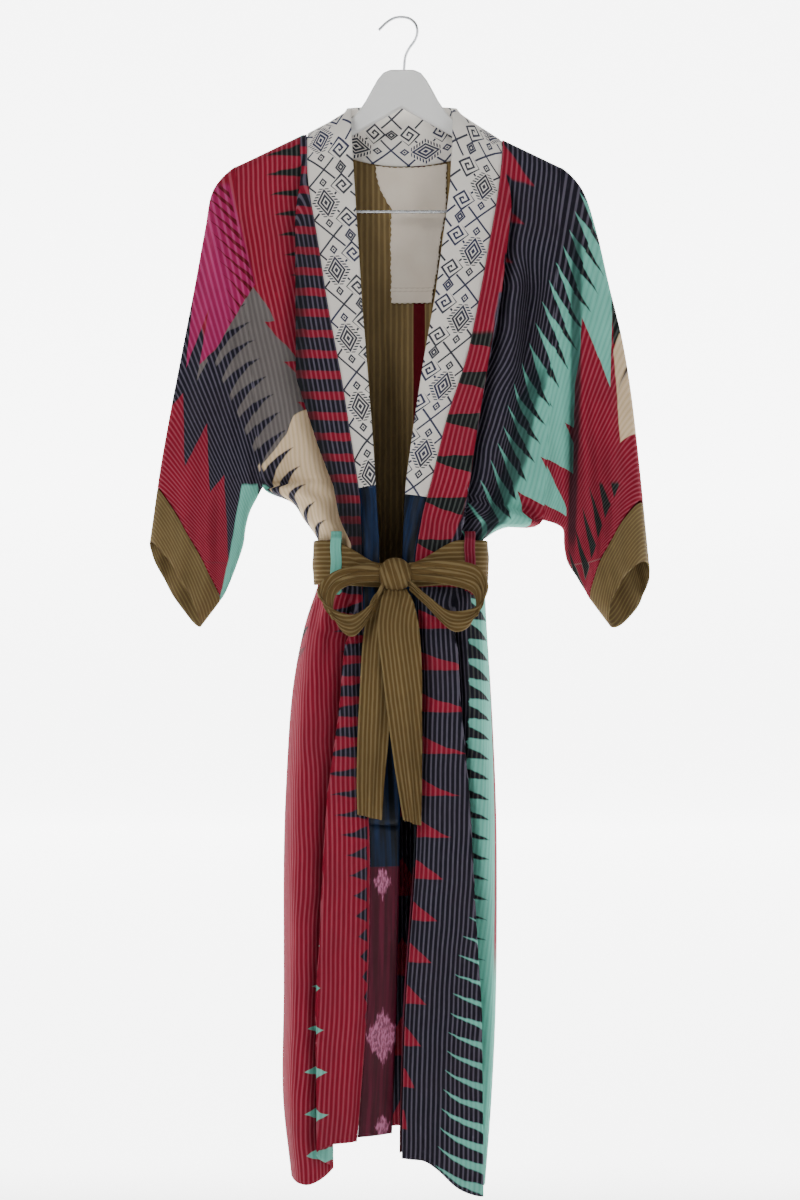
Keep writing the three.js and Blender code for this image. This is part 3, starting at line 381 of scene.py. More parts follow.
def sleeve_ring(rings, front_rows, creases, ring, around):
    """One ring of a sleeve. Its columns are x, y, z and the unfolded x and z."""
    tx, tz, ux, uz, half, skew = read_rows(rings, ring)
    angle = around * 2 * math.pi
    share = (1 - np.cos(angle)) / 2
    wave = np.sin(angle)
    layer = -np.sign(wave) * np.abs(wave) ** 0.7
    x = lerp(ux, tx, share)
    z = lerp(uz, tz, share)
    seam = np.sign(wave)
    armhole = armhole_depth(z, front_rows[0][3], front_rows[UNDERARM_ROW][3]) + SEAM_GAP / 2
    join = smooth(ring)
    ripple = 5 * smooth(ring - 0.5) * np.sin(share * 15 + ring * 0.7) * wave**2
    y = lerp(-seam * armhole, layer * half - seam * ripple, join)
    fade = smooth(ring / 0.7) * smooth(np.abs(wave) / 0.5)
    y -= seam * fade * (creased(x, z, creases) + slack(x, z))
    slide = skew * wave
    length = math.hypot(tx - ux, tz - uz)
    side = math.copysign(1, tx)
    return np.stack([x - side * slide * (tz - uz) / length, y, z + slide * abs(tx - ux) / length, x, z], 1)


# Grids and meshes
def evenly(line, count):
    """A line of points, the first three columns its place, resampled at even distances."""
    far = far_along(line[:, :3])
    goal = np.linspace(0, far[-1], count + 1)
    columns = [np.interp(goal, far, line[:, c]) for c in range(line.shape[1])]
    return np.stack([*columns, goal], 1)


def grid_normals(points, closed=False, seam=None):
    """Directions square to a grid. In the first row, the part along the seam's axis is dropped."""
    if closed:
        across = np.roll(points, -1, 1) - np.roll(points, 1, 1)
    else:
        across = np.gradient(points, axis=1)
    n = np.cross(across, np.gradient(points, axis=0))
    n /= np.linalg.norm(n, axis=2, keepdims=True) + 1e-9
    if seam is not None:
        axis = np.asarray(seam, float)
        row = n[0] - (n[0] * axis).sum(-1, keepdims=True) * axis
        n[0] = row / (np.linalg.norm(row, axis=-1, keepdims=True) + 1e-9)
    return n


def wall_mesh(name, points, wall, normals, maps, closed=False, rim_out=0.35):
    """A thin shell of cloth: the grid is one face, the other lies a wall away, and the rims are rounded."""
    rows, columns = points.shape[:2]
    middle = points + normals * wall / 2
    verts = np.concatenate([points.reshape(-1, 3), (points + normals * wall).reshape(-1, 3)])
    steps = columns if closed else columns - 1
    j, i = np.meshgrid(np.arange(rows - 1), np.arange(steps), indexing="ij")
    i2 = (i + 1) % columns

    def at(jj, ii, layer):
        return layer * rows * columns + jj * columns + ii

    face = np.stack([at(j, i, 0), at(j + 1, i, 0), at(j + 1, i2, 0), at(j, i2, 0)], -1).reshape(-1, 4)
    faces = [face, (face + rows * columns)[:, ::-1]]
    # Rims: a middle line between the two faces rounds each raw edge
    rim_verts = []
    base = len(verts)

    def rim(index, outward):
        nonlocal base
        j_of, i_of = index
        place = middle[j_of, i_of] + outward * wall * rim_out
        rim_verts.append(place)
        count = len(place)
        ring = np.arange(base, base + count)
        base += count
        outer = at(j_of, i_of, 0)
        inner = at(j_of, i_of, 1)
        span = np.arange(count if closed else count - 1)
        nxt = (span + 1) % count
        return [
            np.stack([outer[span], outer[nxt], ring[nxt], ring[span]], -1),
            np.stack([ring[span], ring[nxt], inner[nxt], inner[span]], -1),
        ]

    def away(edge, inside):
        d = edge - inside
        return d / (np.linalg.norm(d, axis=-1, keepdims=True) + 1e-9)

    all_i = np.arange(columns)
    faces += rim((np.zeros(columns, int), all_i), away(points[0], points[1]))
    faces += [f[:, ::-1] for f in rim((np.full(columns, rows - 1), all_i), away(points[-1], points[-2]))]
    if not closed:
        all_j = np.arange(rows)
        faces += [f[:, ::-1] for f in rim((all_j, np.zeros(rows, int)), away(points[:, 0], points[:, 1]))]
        faces += rim((all_j, np.full(rows, columns - 1)), away(points[:, -1], points[:, -2]))
    verts = np.concatenate([verts, *rim_verts]) / 1000
    faces = np.concatenate(faces)
    # The points of a rim take the maps of the edge they sit on
    flat_maps = []
    for values in maps.values():
        values = np.asarray(values, float)
        edges = [values[0], values[-1]] + ([] if closed else [values[:, 0], values[:, -1]])
        flat_maps.append(np.concatenate([values.reshape(-1, 2), values.reshape(-1, 2), *edges]))
    mesh = bpy.data.meshes.new(name)
    mesh.from_pydata(verts.tolist(), [], faces.tolist())
    if signed_volume(verts, faces) < 0:
        mesh.flip_normals()
    loops = np.empty(len(mesh.loops), int)
    mesh.loops.foreach_get("vertex_index", loops)
    for title, values in zip(maps, flat_maps):
        layer = mesh.uv_layers.new(name=title)
        layer.uv.foreach_set("vector", values[loops].ravel().astype(np.float32))
    mesh.polygons.foreach_set("use_smooth", [True] * len(mesh.polygons))
    mesh.update()
    piece = bpy.data.objects.new(name, mesh)
    bpy.context.scene.collection.objects.link(piece)
    return piece


def strip_maps(points, run):
    """The maps of a strip: how far each point lies across it, and how far along."""
    steps = np.linalg.norm(np.diff(points, axis=1), axis=2)
    wide = np.concatenate([np.zeros((len(points), 1)), np.cumsum(steps, 1)], 1)
    return {
        "Cloth": np.stack([wide, np.broadcast_to(run[:, None], wide.shape)], 2),
        "Design": points[:, :, [0, 2]],
    }


def signed_volume(verts, faces):
    """Negative where the faces of a closed shell look inwards."""
    a, b, c, d = (verts[faces[:, n]] for n in range(4))
    return float((a * np.cross(b, c)).sum() + (a * np.cross(c, d)).sum())


def seam_axis(rows):
    """The direction square to the armhole seam, seen from the front."""
    dx = rows[UNDERARM_ROW][2] - rows[0][2]
    dz = rows[UNDERARM_ROW][3] - rows[0][3]
    axis = np.array([dz, 0, -dx])
    return axis / np.linalg.norm(axis)


def fine_rows(step):
    """Row places about step millimetres apart down the body, closer over the shoulder."""
    near = np.array([0, 0.01, 0.03, 0.06, 0.1, 0.16, 0.24, 0.34, 0.46, 0.6])
    dense = np.linspace(0.75, LAST_ROW, 1200)
    right_z = np.array([read_rows(FRONT_RIGHT_ROWS, k)[3] for k in dense])
    left_z = np.array([read_rows(FRONT_LEFT_ROWS, k)[1] for k in dense])
    far = np.concatenate([[0], np.cumsum(np.abs(np.diff((right_z + left_z) / 2)))])
    return np.concatenate([near, np.interp(np.linspace(0, far[-1], int(far[-1] / step)), far, dense)])


BODY_ROWS = fine_rows(5)
AXIS_Y = (0, 1, 0)
pieces = {}


def keep(piece, node, material):
    """Puts a finished piece in the place of its solid."""
    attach(piece, "root")
    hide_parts(node)
    piece.data.materials.append(material)
    pieces[piece.name] = piece


# Materials
class Value:
    """A number that varies over a surface, worked with as plain numbers are."""

    def __init__(self, dye, socket):
        self.dye = dye
        self.socket = socket

    def __add__(self, other):
        return self.dye.math("ADD", self, other)

    def __radd__(self, other):
        return self.dye.math("ADD", other, self)

    def __sub__(self, other):
        return self.dye.math("SUBTRACT", self, other)

    def __rsub__(self, other):
        return self.dye.math("SUBTRACT", other, self)

    def __mul__(self, other):
        return self.dye.math("MULTIPLY", self, other)

    def __rmul__(self, other):
        return self.dye.math("MULTIPLY", other, self)

    def __truediv__(self, other):
        return self.dye.math("DIVIDE", self, other)

    def __rtruediv__(self, other):
        return self.dye.math("DIVIDE", other, self)

    def __neg__(self):
        return self.dye.math("MULTIPLY", self, -1.0)

    def __abs__(self):
        return self.dye.math("ABSOLUTE", self)


class Dye:
    """A cloth or other material being made from nodes."""

    def __init__(self, name, roughness=0.9, **constants):
        self.material = bpy.data.materials.new(name)
        self.material.use_nodes = True
        self.tree = self.material.node_tree
        self.surface = self.tree.nodes["Principled BSDF"]
        self.set("Roughness", roughness)
        for title, value in constants.items():
            self.set(title.replace("_", " "), value)

    def set(self, title, value):
        self.feed(self.surface.inputs[title], value)

    def feed(self, socket, value):
        if isinstance(value, Value):
            self.tree.links.new(value.socket, socket)
        else:
            socket.default_value = value

    def node(self, kind, inputs=(), **settings):
        made = self.tree.nodes.new("ShaderNode" + kind)
        for title, value in settings.items():
            setattr(made, title, value)
        for title, value in dict(inputs).items():
            self.feed(made.inputs[title], value)
        return made

    def math(self, operation, *values):
        inputs = dict(enumerate(values))
        return Value(self, self.node("Math", inputs, operation=operation).outputs[0])

    def map(self, title):
        """The two numbers of one of a mesh's maps, in millimetres."""
        place = self.node("UVMap", uv_map=title)
        parts = self.node("SeparateXYZ", {0: Value(self, place.outputs[0])})
        return Value(self, parts.outputs[0]), Value(self, parts.outputs[1])

    def ramp(self, value, low, high, start=0.0, end=1.0, kind="SMOOTHSTEP"):
        inputs = {0: value, 1: low, 2: high, 3: start, 4: end}
        return Value(self, self.node("MapRange", inputs, interpolation_type=kind).outputs[0])

    def along(self, value, points):
        """Straight pieces from one (place, value) point to the next, places rising."""
        total = points[0][1]
        for (p0, v0), (p1, v1) in zip(points, points[1:]):
            if v1 != v0:
                total = total + self.ramp(value, p0, p1, 0.0, v1 - v0, "LINEAR")
        return total

    def over(self, value, edge=0.0, soft=1.0):
        """1 where the value is over the edge, 0 where it is under, soft wide between."""
        if isinstance(edge, Value):
            value, edge = value - edge, 0.0
        return self.ramp(value, edge - soft / 2, edge + soft / 2)

    def between(self, value, low, high, soft=1.0):
        return self.over(value, low, soft) * (1.0 - self.over(value, high, soft))

    def mix(self, share, first, second):
        made = self.node("Mix", {0: share, 6: first, 7: second}, data_type="RGBA")
        return Value(self, made.outputs[2])

    def noise(self, scale, detail=2.0, place=None):
        place = place or Value(self, self.node("TexCoord").outputs["Object"])
        made = self.node("TexNoise", {"Vector": place, "Scale": scale, "Detail": detail})
        return Value(self, made.outputs[0])

    def frac(self, value):
        return self.math("FRACT", value)

    def vector(self, x=0.0, y=0.0, z=0.0):
        return Value(self, self.node("CombineXYZ", {0: x, 1: y, 2: z}).outputs[0])

    def bump(self, height, strength, distance):
        made = self.node("Bump", {"Height": height, "Strength": strength, "Distance": distance})
        self.set("Normal", Value(self, made.outputs[0]))


def colour(text):
    """A colour written as six hex digits, as light."""
    parts = [int(text[n:n + 2], 16) / 255 for n in (0, 2, 4)]
    return (*[v / 12.92 if v < 0.04045 else ((v + 0.055) / 1.055) ** 2.4 for v in parts], 1.0)


def dyes(ground, line):
    """The colours of a cloth: its ground and the fine line that runs through it, or for a satin its painted
    sheen.
    """
    return colour(ground), colour(line)


RED = dyes("801128", "a14d5a")
DEEP_RED = dyes("560917", "74303a")
NAVY = dyes("151620", "625e6c")
DULL_NAVY = dyes("151620", "4a4f4c")
BLACK_GREEN = dyes("0f1615", "4a4f4c")
# Near-black painted shadow, laid along the deep fold beside the bars
PAINTED_FOLD_SHADOW = dyes("0f1615", "0f1615")
FOLD_SHADE = dyes("0b181c", "1b2a2e")
MAGENTA = dyes("931c4f", "ac4876")
GREY = dyes("605b59", "736d6b")
CREAM = dyes("d2b893", "dcc6a6")
TURQUOISE = dyes("6cb7a5", "78c2b1")
OLIVE = dyes("5e4b2d", "86734e")
OLIVE_DARK = colour("2c2115")
# For the satins the second colour is painted sheen, laid in long soft streaks
NAVY_SATIN = dyes("04080f", "0d2343")
WINE_SATIN = dyes("360616", "540e27")
STRIPE_PITCH = 5.8


class Patchwork(Dye):
    """Striped cloth whose colours are laid one over another by their outlines."""

    def __init__(self, name, dyed):
        super().__init__(name, roughness=0.92)
        self.across, self.down = self.map("Cloth")
        design_x, design_z = self.map("Design")
        # The outlines wander a little, as they do where dyed threads shift against each other
        self.x = design_x + (self.noise(55.0, 2.0) - 0.5) * 2.4
        self.z = design_z + (self.noise(90.0, 1.0) - 0.5) * 3.0
        self.ground, self.line = dyed

    def lay(self, share, dyed):
        self.ground = self.mix(share, self.ground, dyed[0])
        self.line = self.mix(share, self.line, dyed[1])

    def past(self, edge):
        """1 on the +X side of an edge that varies down the cloth."""
        return self.over(self.x - edge, 0.0, 2.0)

    def sawtooth(self, pitch, offset):
        return self.frac((self.z - offset) / pitch + 100.0)

    def blades(self, root, reach, pitch, lean, fat, offset, side, bend=0.0):
        """Pointed blades that grow from the line x = root towards side, one to each pitch down the cloth."""
        off = (self.x - root) * side
        share = off / reach
        rise = self.z + off * lean
        if bend:
            rise = rise + off * off * bend
        place = abs(self.frac((rise - offset) / pitch + 100.0) - 0.5)
        half = fat * (1.0 - share)
        inside = self.over(off, 0.0, 1.5) * self.over(reach - off, 0.0, 1.5)
        return self.over(half - place, 0.0, 0.09) * inside

    def right_of(self, x0, z0, x1, z1, soft=1.6):
        """1 on the +X side of the slanted line through two points."""
        slope = (x1 - x0) / (z1 - z0)
        return self.over(self.x - (self.z - z0) * slope, x0, soft)

    def above(self, x0, z0, x1, z1, soft=1.6):
        """1 above the slanted line through two points."""
        slope = (z1 - z0) / (x1 - x0)
        return self.over(self.z - (self.x - x0) * slope, z0, soft)

    def finish(self):
        thread = abs(self.frac(self.across / STRIPE_PITCH) - 0.5) * 2.0
        line = self.over(thread, 0.64, 0.3)
        picks = self.frac(self.down / 1.1)
        broken = 0.72 + 0.28 * self.over(picks, 0.35, 0.5)
        tint = self.mix(line * broken * 0.78, self.ground, self.line)
        shade = self.noise(14.0, 3.0)
        tint = self.mix(self.over(shade, 0.5, 0.6) * 0.16, tint, colour("3a2a30"))
        # Painted shade: the groove in the middle of each stripe, sunk by the bump below, is darkened
        groove = self.over(thread, 0.12, 0.24) * 0.6 + 0.4
        tint = self.mix((1.0 - groove) * 0.35, tint, colour("120d12"))
        self.set("Base Color", tint)
        ribs = line * 0.5 + groove + self.noise(420.0, 2.0) * 0.5 + abs(picks - 0.5) * 0.5
        self.bump(ribs, 0.5, 0.0005)
        self.surface.inputs["Specular IOR Level"].default_value = 0.12
        return self.material


def make_cloth_right():
    """The wearer's right front and sleeve."""
    c = Patchwork("patched cloth, right side", RED)
    upper = c.over(c.z, -655.0, 4.0)
    lower = 1.0 - upper
    # Upper body: dark and red bars beside the collar, red beyond them
    bars_edge = c.along(c.z, [(-655, -56), (-629, -62), (-565, -75), (-515, -94), (-434, -119),
                              (-266, -121), (-139, -122)])
    in_strip = c.past(bars_edge)
    bar = c.between(c.sawtooth(24.6, -139.0), 0.3, 0.94, 0.08)
    teeth_reach = c.along(c.z, [(-420, 4), (-330, 16), (-180, 42)])
    teeth = c.blades(bars_edge, teeth_reach, 24.6, 0.15, 0.3, -148.0, -1.0)
    c.lay(upper * teeth, BLACK_GREEN)
    # Magenta over the top of the sleeve, its lower tongues running down into the dark
    grey_top = c.along(c.x, [(-300, -640), (-244, -420), (-222, -400), (-176, -322), (-172, -318),
                             (-160, -345), (-140, -400), (-118, -470)])
    below = c.over(grey_top - c.z, 0.0, 2.0)
    tongue_line = c.along(c.x - c.z * 0.31,
                          [(-150, -317), (-128, -420), (-121, -350), (-109, -437), (-100, -400)])
    pink = c.over(c.z - tongue_line, 0.0, 4.0) * (1.0 - c.right_of(-176, -318, -206, -200, 4.0))
    pink = pink * (1.0 - c.above(-300, -205, -190, -200, 8.0))
    c.lay(upper * pink * (1.0 - below), MAGENTA)
    specks_root = c.along(c.z, [(-320, -176), (-205, -208)])
    specks = c.blades(specks_root, 34.0, 17.0, -1.2, 0.26, -240.0, -1.0)
    c.lay(upper * specks * pink, DEEP_RED)
    dark_edge = c.along(c.z, [(-620, -150), (-520, -176), (-440, -212), (-390, -234),
                              (-330, -250), (-250, -262), (-200, -300)])
    dark_side = c.over(dark_edge - c.x, 0.0, 3.0)
    # A grey wedge with a stepped right edge, and cream under it
    steps = c.sawtooth(48.0, -318.0) * 17.0
    grey_right = c.along(c.z, [(-470, -112), (-411, -128), (-364, -148), (-317, -166)]) - steps
    c.lay(upper * below * (1.0 - c.past(grey_right)), GREY)
    cream_edge = c.along(c.x, [(-190, -556), (-166, -532), (-138, -500), (-131, -478), (-118, -464)])
    cream = c.over(cream_edge - c.z, 0.0, 2.5) * c.over(c.x, -192.0, 3.0)
    # The bars beside the collar, and painted shadow in the deep fold beside them
    c.lay(upper * in_strip * bar, NAVY)
    c.lay(upper * in_strip * (1.0 - bar), RED)
    # Painted shadow: a dark band along the deep fold at the left edge of the bars
    fold_shadow_band = c.between(c.x - bars_edge, -1.0, 19.0, 9.0) * c.over(-300.0 - c.z, 0.0, 160.0)
    c.lay(upper * fold_shadow_band * 0.75, PAINTED_FOLD_SHADOW)
    c.lay(upper * cream * (1.0 - in_strip), CREAM)
    c.lay(upper * dark_side * (1.0 - pink), NAVY)
    # Dark blades rise into the grey and the cream from the lower left
    root = c.along(c.z, [(-620, -146), (-560, -176), (-480, -206), (-400, -236), (-330, -250)])
    rising = c.blades(root, 62.0, 21.5, -1.15, 0.44, -318.0, 1.0, 0.006)
    c.lay(upper * rising * below * (1.0 - c.over(c.x - bars_edge, -8.0, 2.0)), NAVY)
    # Red serrated patches towards the cuff
    notches = c.along(c.x, [(-310, -500), (-262, -450), (-261, -540), (-232, -486), (-231, -570),
                            (-205, -540)])
    past_arm = c.over(c.along(c.z, [(-740, -206), (-480, -214)]) - c.x, 0.0, 2.0)
    c.lay(upper * c.over(notches - c.z, 0.0, 2.0) * past_arm, RED)
    c.lay(lower * c.over(-206.0 - c.x, 0.0, 2.0), RED)
    # Turquoise along the under side of the sleeve
    under_left = c.along(c.z, [(-720, -226), (-640, -206), (-556, -190)])
    under = c.past(under_left) * c.over(-172.0 - c.x, 0.0, 2.0)
    c.lay(under * c.between(c.z, -745.0, -560.0, 4.0), TURQUOISE)
    # Skirt: dark teeth from the opening edge, small turquoise diamonds down the fold
    skirt_edge = c.along(c.z, [(-1384, -53), (-1166, -41), (-914, -41), (-655, -48)])
    reach = c.along(c.z, [(-1180, 2), (-1040, 16), (-900, 28), (-760, 36), (-655, 44)])
    dents = c.blades(skirt_edge, reach, 24.0, 0.08, 0.34, -720.0, -1.0)
    c.lay(lower * dents * c.over(c.z, -1190.0, 30.0), NAVY)
    fold = c.along(c.z, [(-1384, -96), (-1178, -98), (-962, -87), (-924, -84), (-832, -71), (-725, -62)])
    height = abs(c.sawtooth(49.4, -1176.0) - 0.5) * 49.4
    half = c.along(c.z, [(-1384, 8), (-1250, 7), (-1160, 4), (-1107, 1.5), (-1080, -3)])
    # The middle of each diamond is taken up by the lap, and its two halves show on either side
    beside = c.math("MAXIMUM", abs(c.x - fold) - 13.0, 0.0)
    gem = c.over(half - height - beside * 0.8, 0.0, 1.2)
    c.lay(lower * gem, TURQUOISE)
    # Dark blades near the side seam, high on the skirt
    side_blades = c.blades(-150.0, 30.0, 24.0, -0.5, 0.42, -660.0, 1.0)
    c.lay(lower * side_blades * c.over(c.x, -230.0, 2.0) * c.over(c.z, -760.0, 50.0), BLACK_GREEN)
    return c.finish()


def make_cloth_left():
    """The wearer's left front and sleeve."""
    c = Patchwork("patched cloth, left side", NAVY)
    upper = c.over(c.z, -655.0, 4.0)
    lower = 1.0 - upper
    # Red beside the collar, cut by dark teeth, then red hooks in the navy near the shoulder
    strip_edge = c.along(c.z, [(-655, 46), (-560, 66), (-458, 82), (-340, 100), (-205, 122), (-139, 122)])
    c.lay(upper * (1.0 - c.past(strip_edge)), RED)
    phase = c.sawtooth(49.6, -428.0)
    tooth = c.over(phase, 0.57, 0.04) * c.over(c.x - strip_edge + 42.0 - (1.0 - phase) * 100.0, 0.0, 2.0)
    tooth = tooth * (1.0 - c.past(strip_edge))
    c.lay(upper * tooth * c.over(-380.0 - c.z, 0.0, 8.0), BLACK_GREEN)
    hook_reach = c.along(c.z, [(-345, 8), (-300, 32), (-170, 40)])
    hooks = c.blades(strip_edge - 2.0, hook_reach, 48.5, 0.9, 0.4, -194.0, 1.0)
    c.lay(upper * hooks * c.over(c.z, -345.0, 6.0), RED)
    # Turquoise with blades: it reaches left in points and the navy reaches right in points
    edge = c.along(c.z, [(-1400, 98), (-1180, 96), (-1010, 91), (-924, 88), (-811, 85), (-725, 82),
                         (-655, 86), (-620, 110), (-565, 133), (-533, 145),
                         (-458, 160), (-403, 184), (-317, 210), (-285, 219), (-200, 240)])
    c.lay(c.past(edge), TURQUOISE)
    left_reach = c.along(c.z, [(-1400, 62), (-1250, 46), (-1100, 32), (-980, 14), (-860, 2), (-700, 2),
                               (-655, 8), (-620, 34), (-576, 40),
                               (-532, 40), (-486, 32), (-418, 36), (-313, 36), (-244, 26)])
    lean = c.along(c.z, [(-1400, -0.28), (-700, -0.34), (-640, -0.9), (-300, -1.1)])
    width = c.along(c.z, [(-1400, 0.36), (-1000, 0.2), (-660, 0.16), (-560, 0.3), (-420, 0.32)])
    c.lay(c.blades(edge + 1.0, left_reach, 24.0, lean, width, -230.0, -1.0, -0.005), TURQUOISE)
    right_reach = c.along(c.z, [(-1250, 4), (-1180, 18), (-900, 26), (-800, 40), (-655, 40), (-600, 12),
                                (-470, 22), (-380, 26), (-240, 34)])
    width = c.along(c.z, [(-1250, 0.07), (-1100, 0.12), (-960, 0.19), (-860, 0.27), (-740, 0.4),
                          (-655, 0.42), (-600, 0.2), (-560, 0.2), (-420, 0.18), (-240, 0.18)])
    c.lay(c.blades(edge - 1.0, right_reach, 24.0, -lean, width, -242.0, 1.0), DULL_NAVY)
    # Sleeve: red with long points of turquoise over it, and dark and cream at the outer edge
    arm = c.over(c.x, 160.0, 2.0) * upper
    red_top = c.along(c.x, [(160, -640), (176, -560), (205, -556), (206, -440), (212, -402), (214, -360),
                            (250, -445), (252, -350), (262, -380), (300, -400)])
    c.lay(arm * c.over(red_top - c.z, 0.0, 2.0) * c.over(c.x, 196.0, 2.0), RED)
    # Beaked spikes: each lies further down and further in than the one above it
    below_beak = (-485.6 - c.z) - (c.x - 193.7) * 0.53
    turn = c.frac(below_beak / 55.2 + 10.0)
    spikes = c.over(c.x - 193.7 + (below_beak / 55.2 - turn) * 26.8 - turn * 35.5, 0.0, 1.6)
    spikes = spikes * c.over(below_beak, -1.0, 2.0) * c.over(c.x, 136.0, 2.0)
    c.lay(upper * spikes, RED)
    dark_edge = c.along(c.z, [(-420, 256), (-330, 250), (-260, 236), (-200, 222)])
    c.lay(arm * c.past(dark_edge) * c.over(c.z, -392.0, 4.0), BLACK_GREEN)
    cream_left = c.along(c.z, [(-600, 274), (-480, 262), (-400, 254), (-372, 262)])
    cream_low = c.along(c.x, [(250, -452), (264, -512), (282, -498), (300, -500)])
    cream = c.past(cream_left) * c.over(c.z - cream_low, 0.0, 2.0)
    c.lay(arm * cream * c.over(-378.0 - c.z, 0.0, 6.0), CREAM)
    # One short dark point on the cream
    tick = c.blades(277.0, 16.0, 120.0, 2.6, 0.07, -463.0, -1.0)
    c.lay(arm * tick * c.between(c.z, -452.0, -398.0, 4.0), NAVY)
    # Dark slanted stripes low down, near the cuff
    low_root = c.along(c.z, [(-700, 214), (-560, 268)])
    low = c.blades(low_root, 40.0, 24.0, -1.4, 0.34, -560.0, -1.0)
    c.lay(c.over(c.x, 160.0, 2.0) * low * c.between(c.z, -720.0, -560.0, 6.0), BLACK_GREEN)
    # The deepest folds are darker than the light alone makes them
    sleeve_line = c.along(c.z, [(-640, 204), (-250, 209)])
    sleeve_fold = c.between(c.x - sleeve_line, -6.0, 6.0, 7.0) * c.between(c.z, -640.0, -250.0, 70.0)
    body_line = c.along(c.z, [(-620, 106), (-603, 112), (-565, 126), (-533, 138), (-458, 152), (-446, 160),
                              (-400, 170)])
    body_fold = c.between(c.x - body_line, -13.0, 12.0, 9.0) * c.between(c.z, -640.0, -420.0, 70.0)
    deep = c.ramp(sleeve_fold + body_fold, 0.0, 1.0)
    c.lay(upper * deep * 0.8, FOLD_SHADE)
    c.lay(c.over(c.x, 160.0, 2.0) * lower * (1.0 - low), RED)
    # Skirt: red triangles on the opening edge, red again at the side seam
    skirt_edge = c.along(c.z, [(-1395, 0), (-1166, 5), (-1012, 16), (-811, 23), (-655, 18)])
    saw = 1.0 - c.sawtooth(49.0, -758.0)
    reach = c.along(c.z, [(-1320, 4), (-1200, 22), (-1000, 34), (-850, 40), (-700, 44), (-655, 60)])
    triangle = c.over(saw * reach * 2.2 - (c.x - skirt_edge), 0.0, 1.6) * c.over(0.46 - saw, 0.0, 0.03)
    triangle = triangle * (1.0 - c.over(c.x, 150.0, 2.0))
    c.lay(lower * triangle * c.over(c.z, -1330.0, 10.0), RED)
    c.lay(lower * c.between(c.x, 130.0, 180.0, 3.0) * c.over(c.z, -1130.0, 60.0), RED)
    return c.finish()


def make_cloth_back():
    """The back, alike on both sides: navy with red points in the middle, then turquoise blades, then red."""
    c = Patchwork("patched cloth, back", NAVY)
    c.x = abs(c.x)
    edge = c.along(c.z, [(-1400, 92), (-1050, 70), (-760, 64), (-560, 74), (-380, 96), (-140, 112)])
    c.lay(c.past(edge), TURQUOISE)
    c.lay(c.blades(edge + 1.0, 46.0, 24.0, 0.8, 0.4, 0.0, -1.0), TURQUOISE)
    c.lay(c.blades(edge - 1.0, 34.0, 24.0, -0.8, 0.4, 12.0, 1.0), BLACK_GREEN)
    outer = c.along(c.z, [(-1400, 128), (-1050, 108), (-760, 100), (-560, 112), (-380, 140), (-140, 150)])
    c.lay(c.past(outer), RED)
    c.lay(c.blades(outer + 1.0, 22.0, 49.0, 0.0, 0.46, 10.0, -1.0), RED)
    c.lay(c.blades(outer + 60.0, 44.0, 24.0, 0.2, 0.36, 0.0, -1.0), NAVY)
    middle = 1.0 - c.sawtooth(98.0, -230.0)
    c.lay(c.over(middle * 60.0 - c.x, 0.0, 2.0) * c.over(0.48 - middle, 0.0, 0.03), RED)
    return c.finish()


def striped_cotton(name, dyed, thin, pitch=5.4, red=False):
    """Cotton with woven stripes and thin dark threads between them, and a red band if asked for."""
    c = Dye(name, roughness=0.93)
    across, down = c.map("Cloth")
    wobble = (c.noise(60.0, 2.0) - 0.5) * 0.9
    thread = abs(c.frac((across + wobble) / pitch) - 0.5) * 2.0
    tint = c.mix(c.over(thread, 0.62, 0.24), *dyed)
    tint = c.mix(c.over(abs(thread - 0.3), 0.2, 0.3) * 0.25, tint, thin)
    if red:
        x, _ = c.map("Design")
        tint = c.mix(c.between(x, 14.0, 28.0, 1.2), tint, DEEP_RED[0])
    tint = c.mix(c.over(c.noise(12.0, 3.0), 0.5, 0.5) * 0.2, tint, colour("2c2416"))
    c.set("Base Color", tint)
    picks = abs(c.frac(down / 1.2) - 0.5)
    c.bump(thread * 0.8 + picks * 0.6 + c.noise(380.0, 2.0) * 0.7, 0.5, 0.0004)
    c.surface.inputs["Specular IOR Level"].default_value = 0.1
    return c.material


FIGURE_REPEAT = 82.0


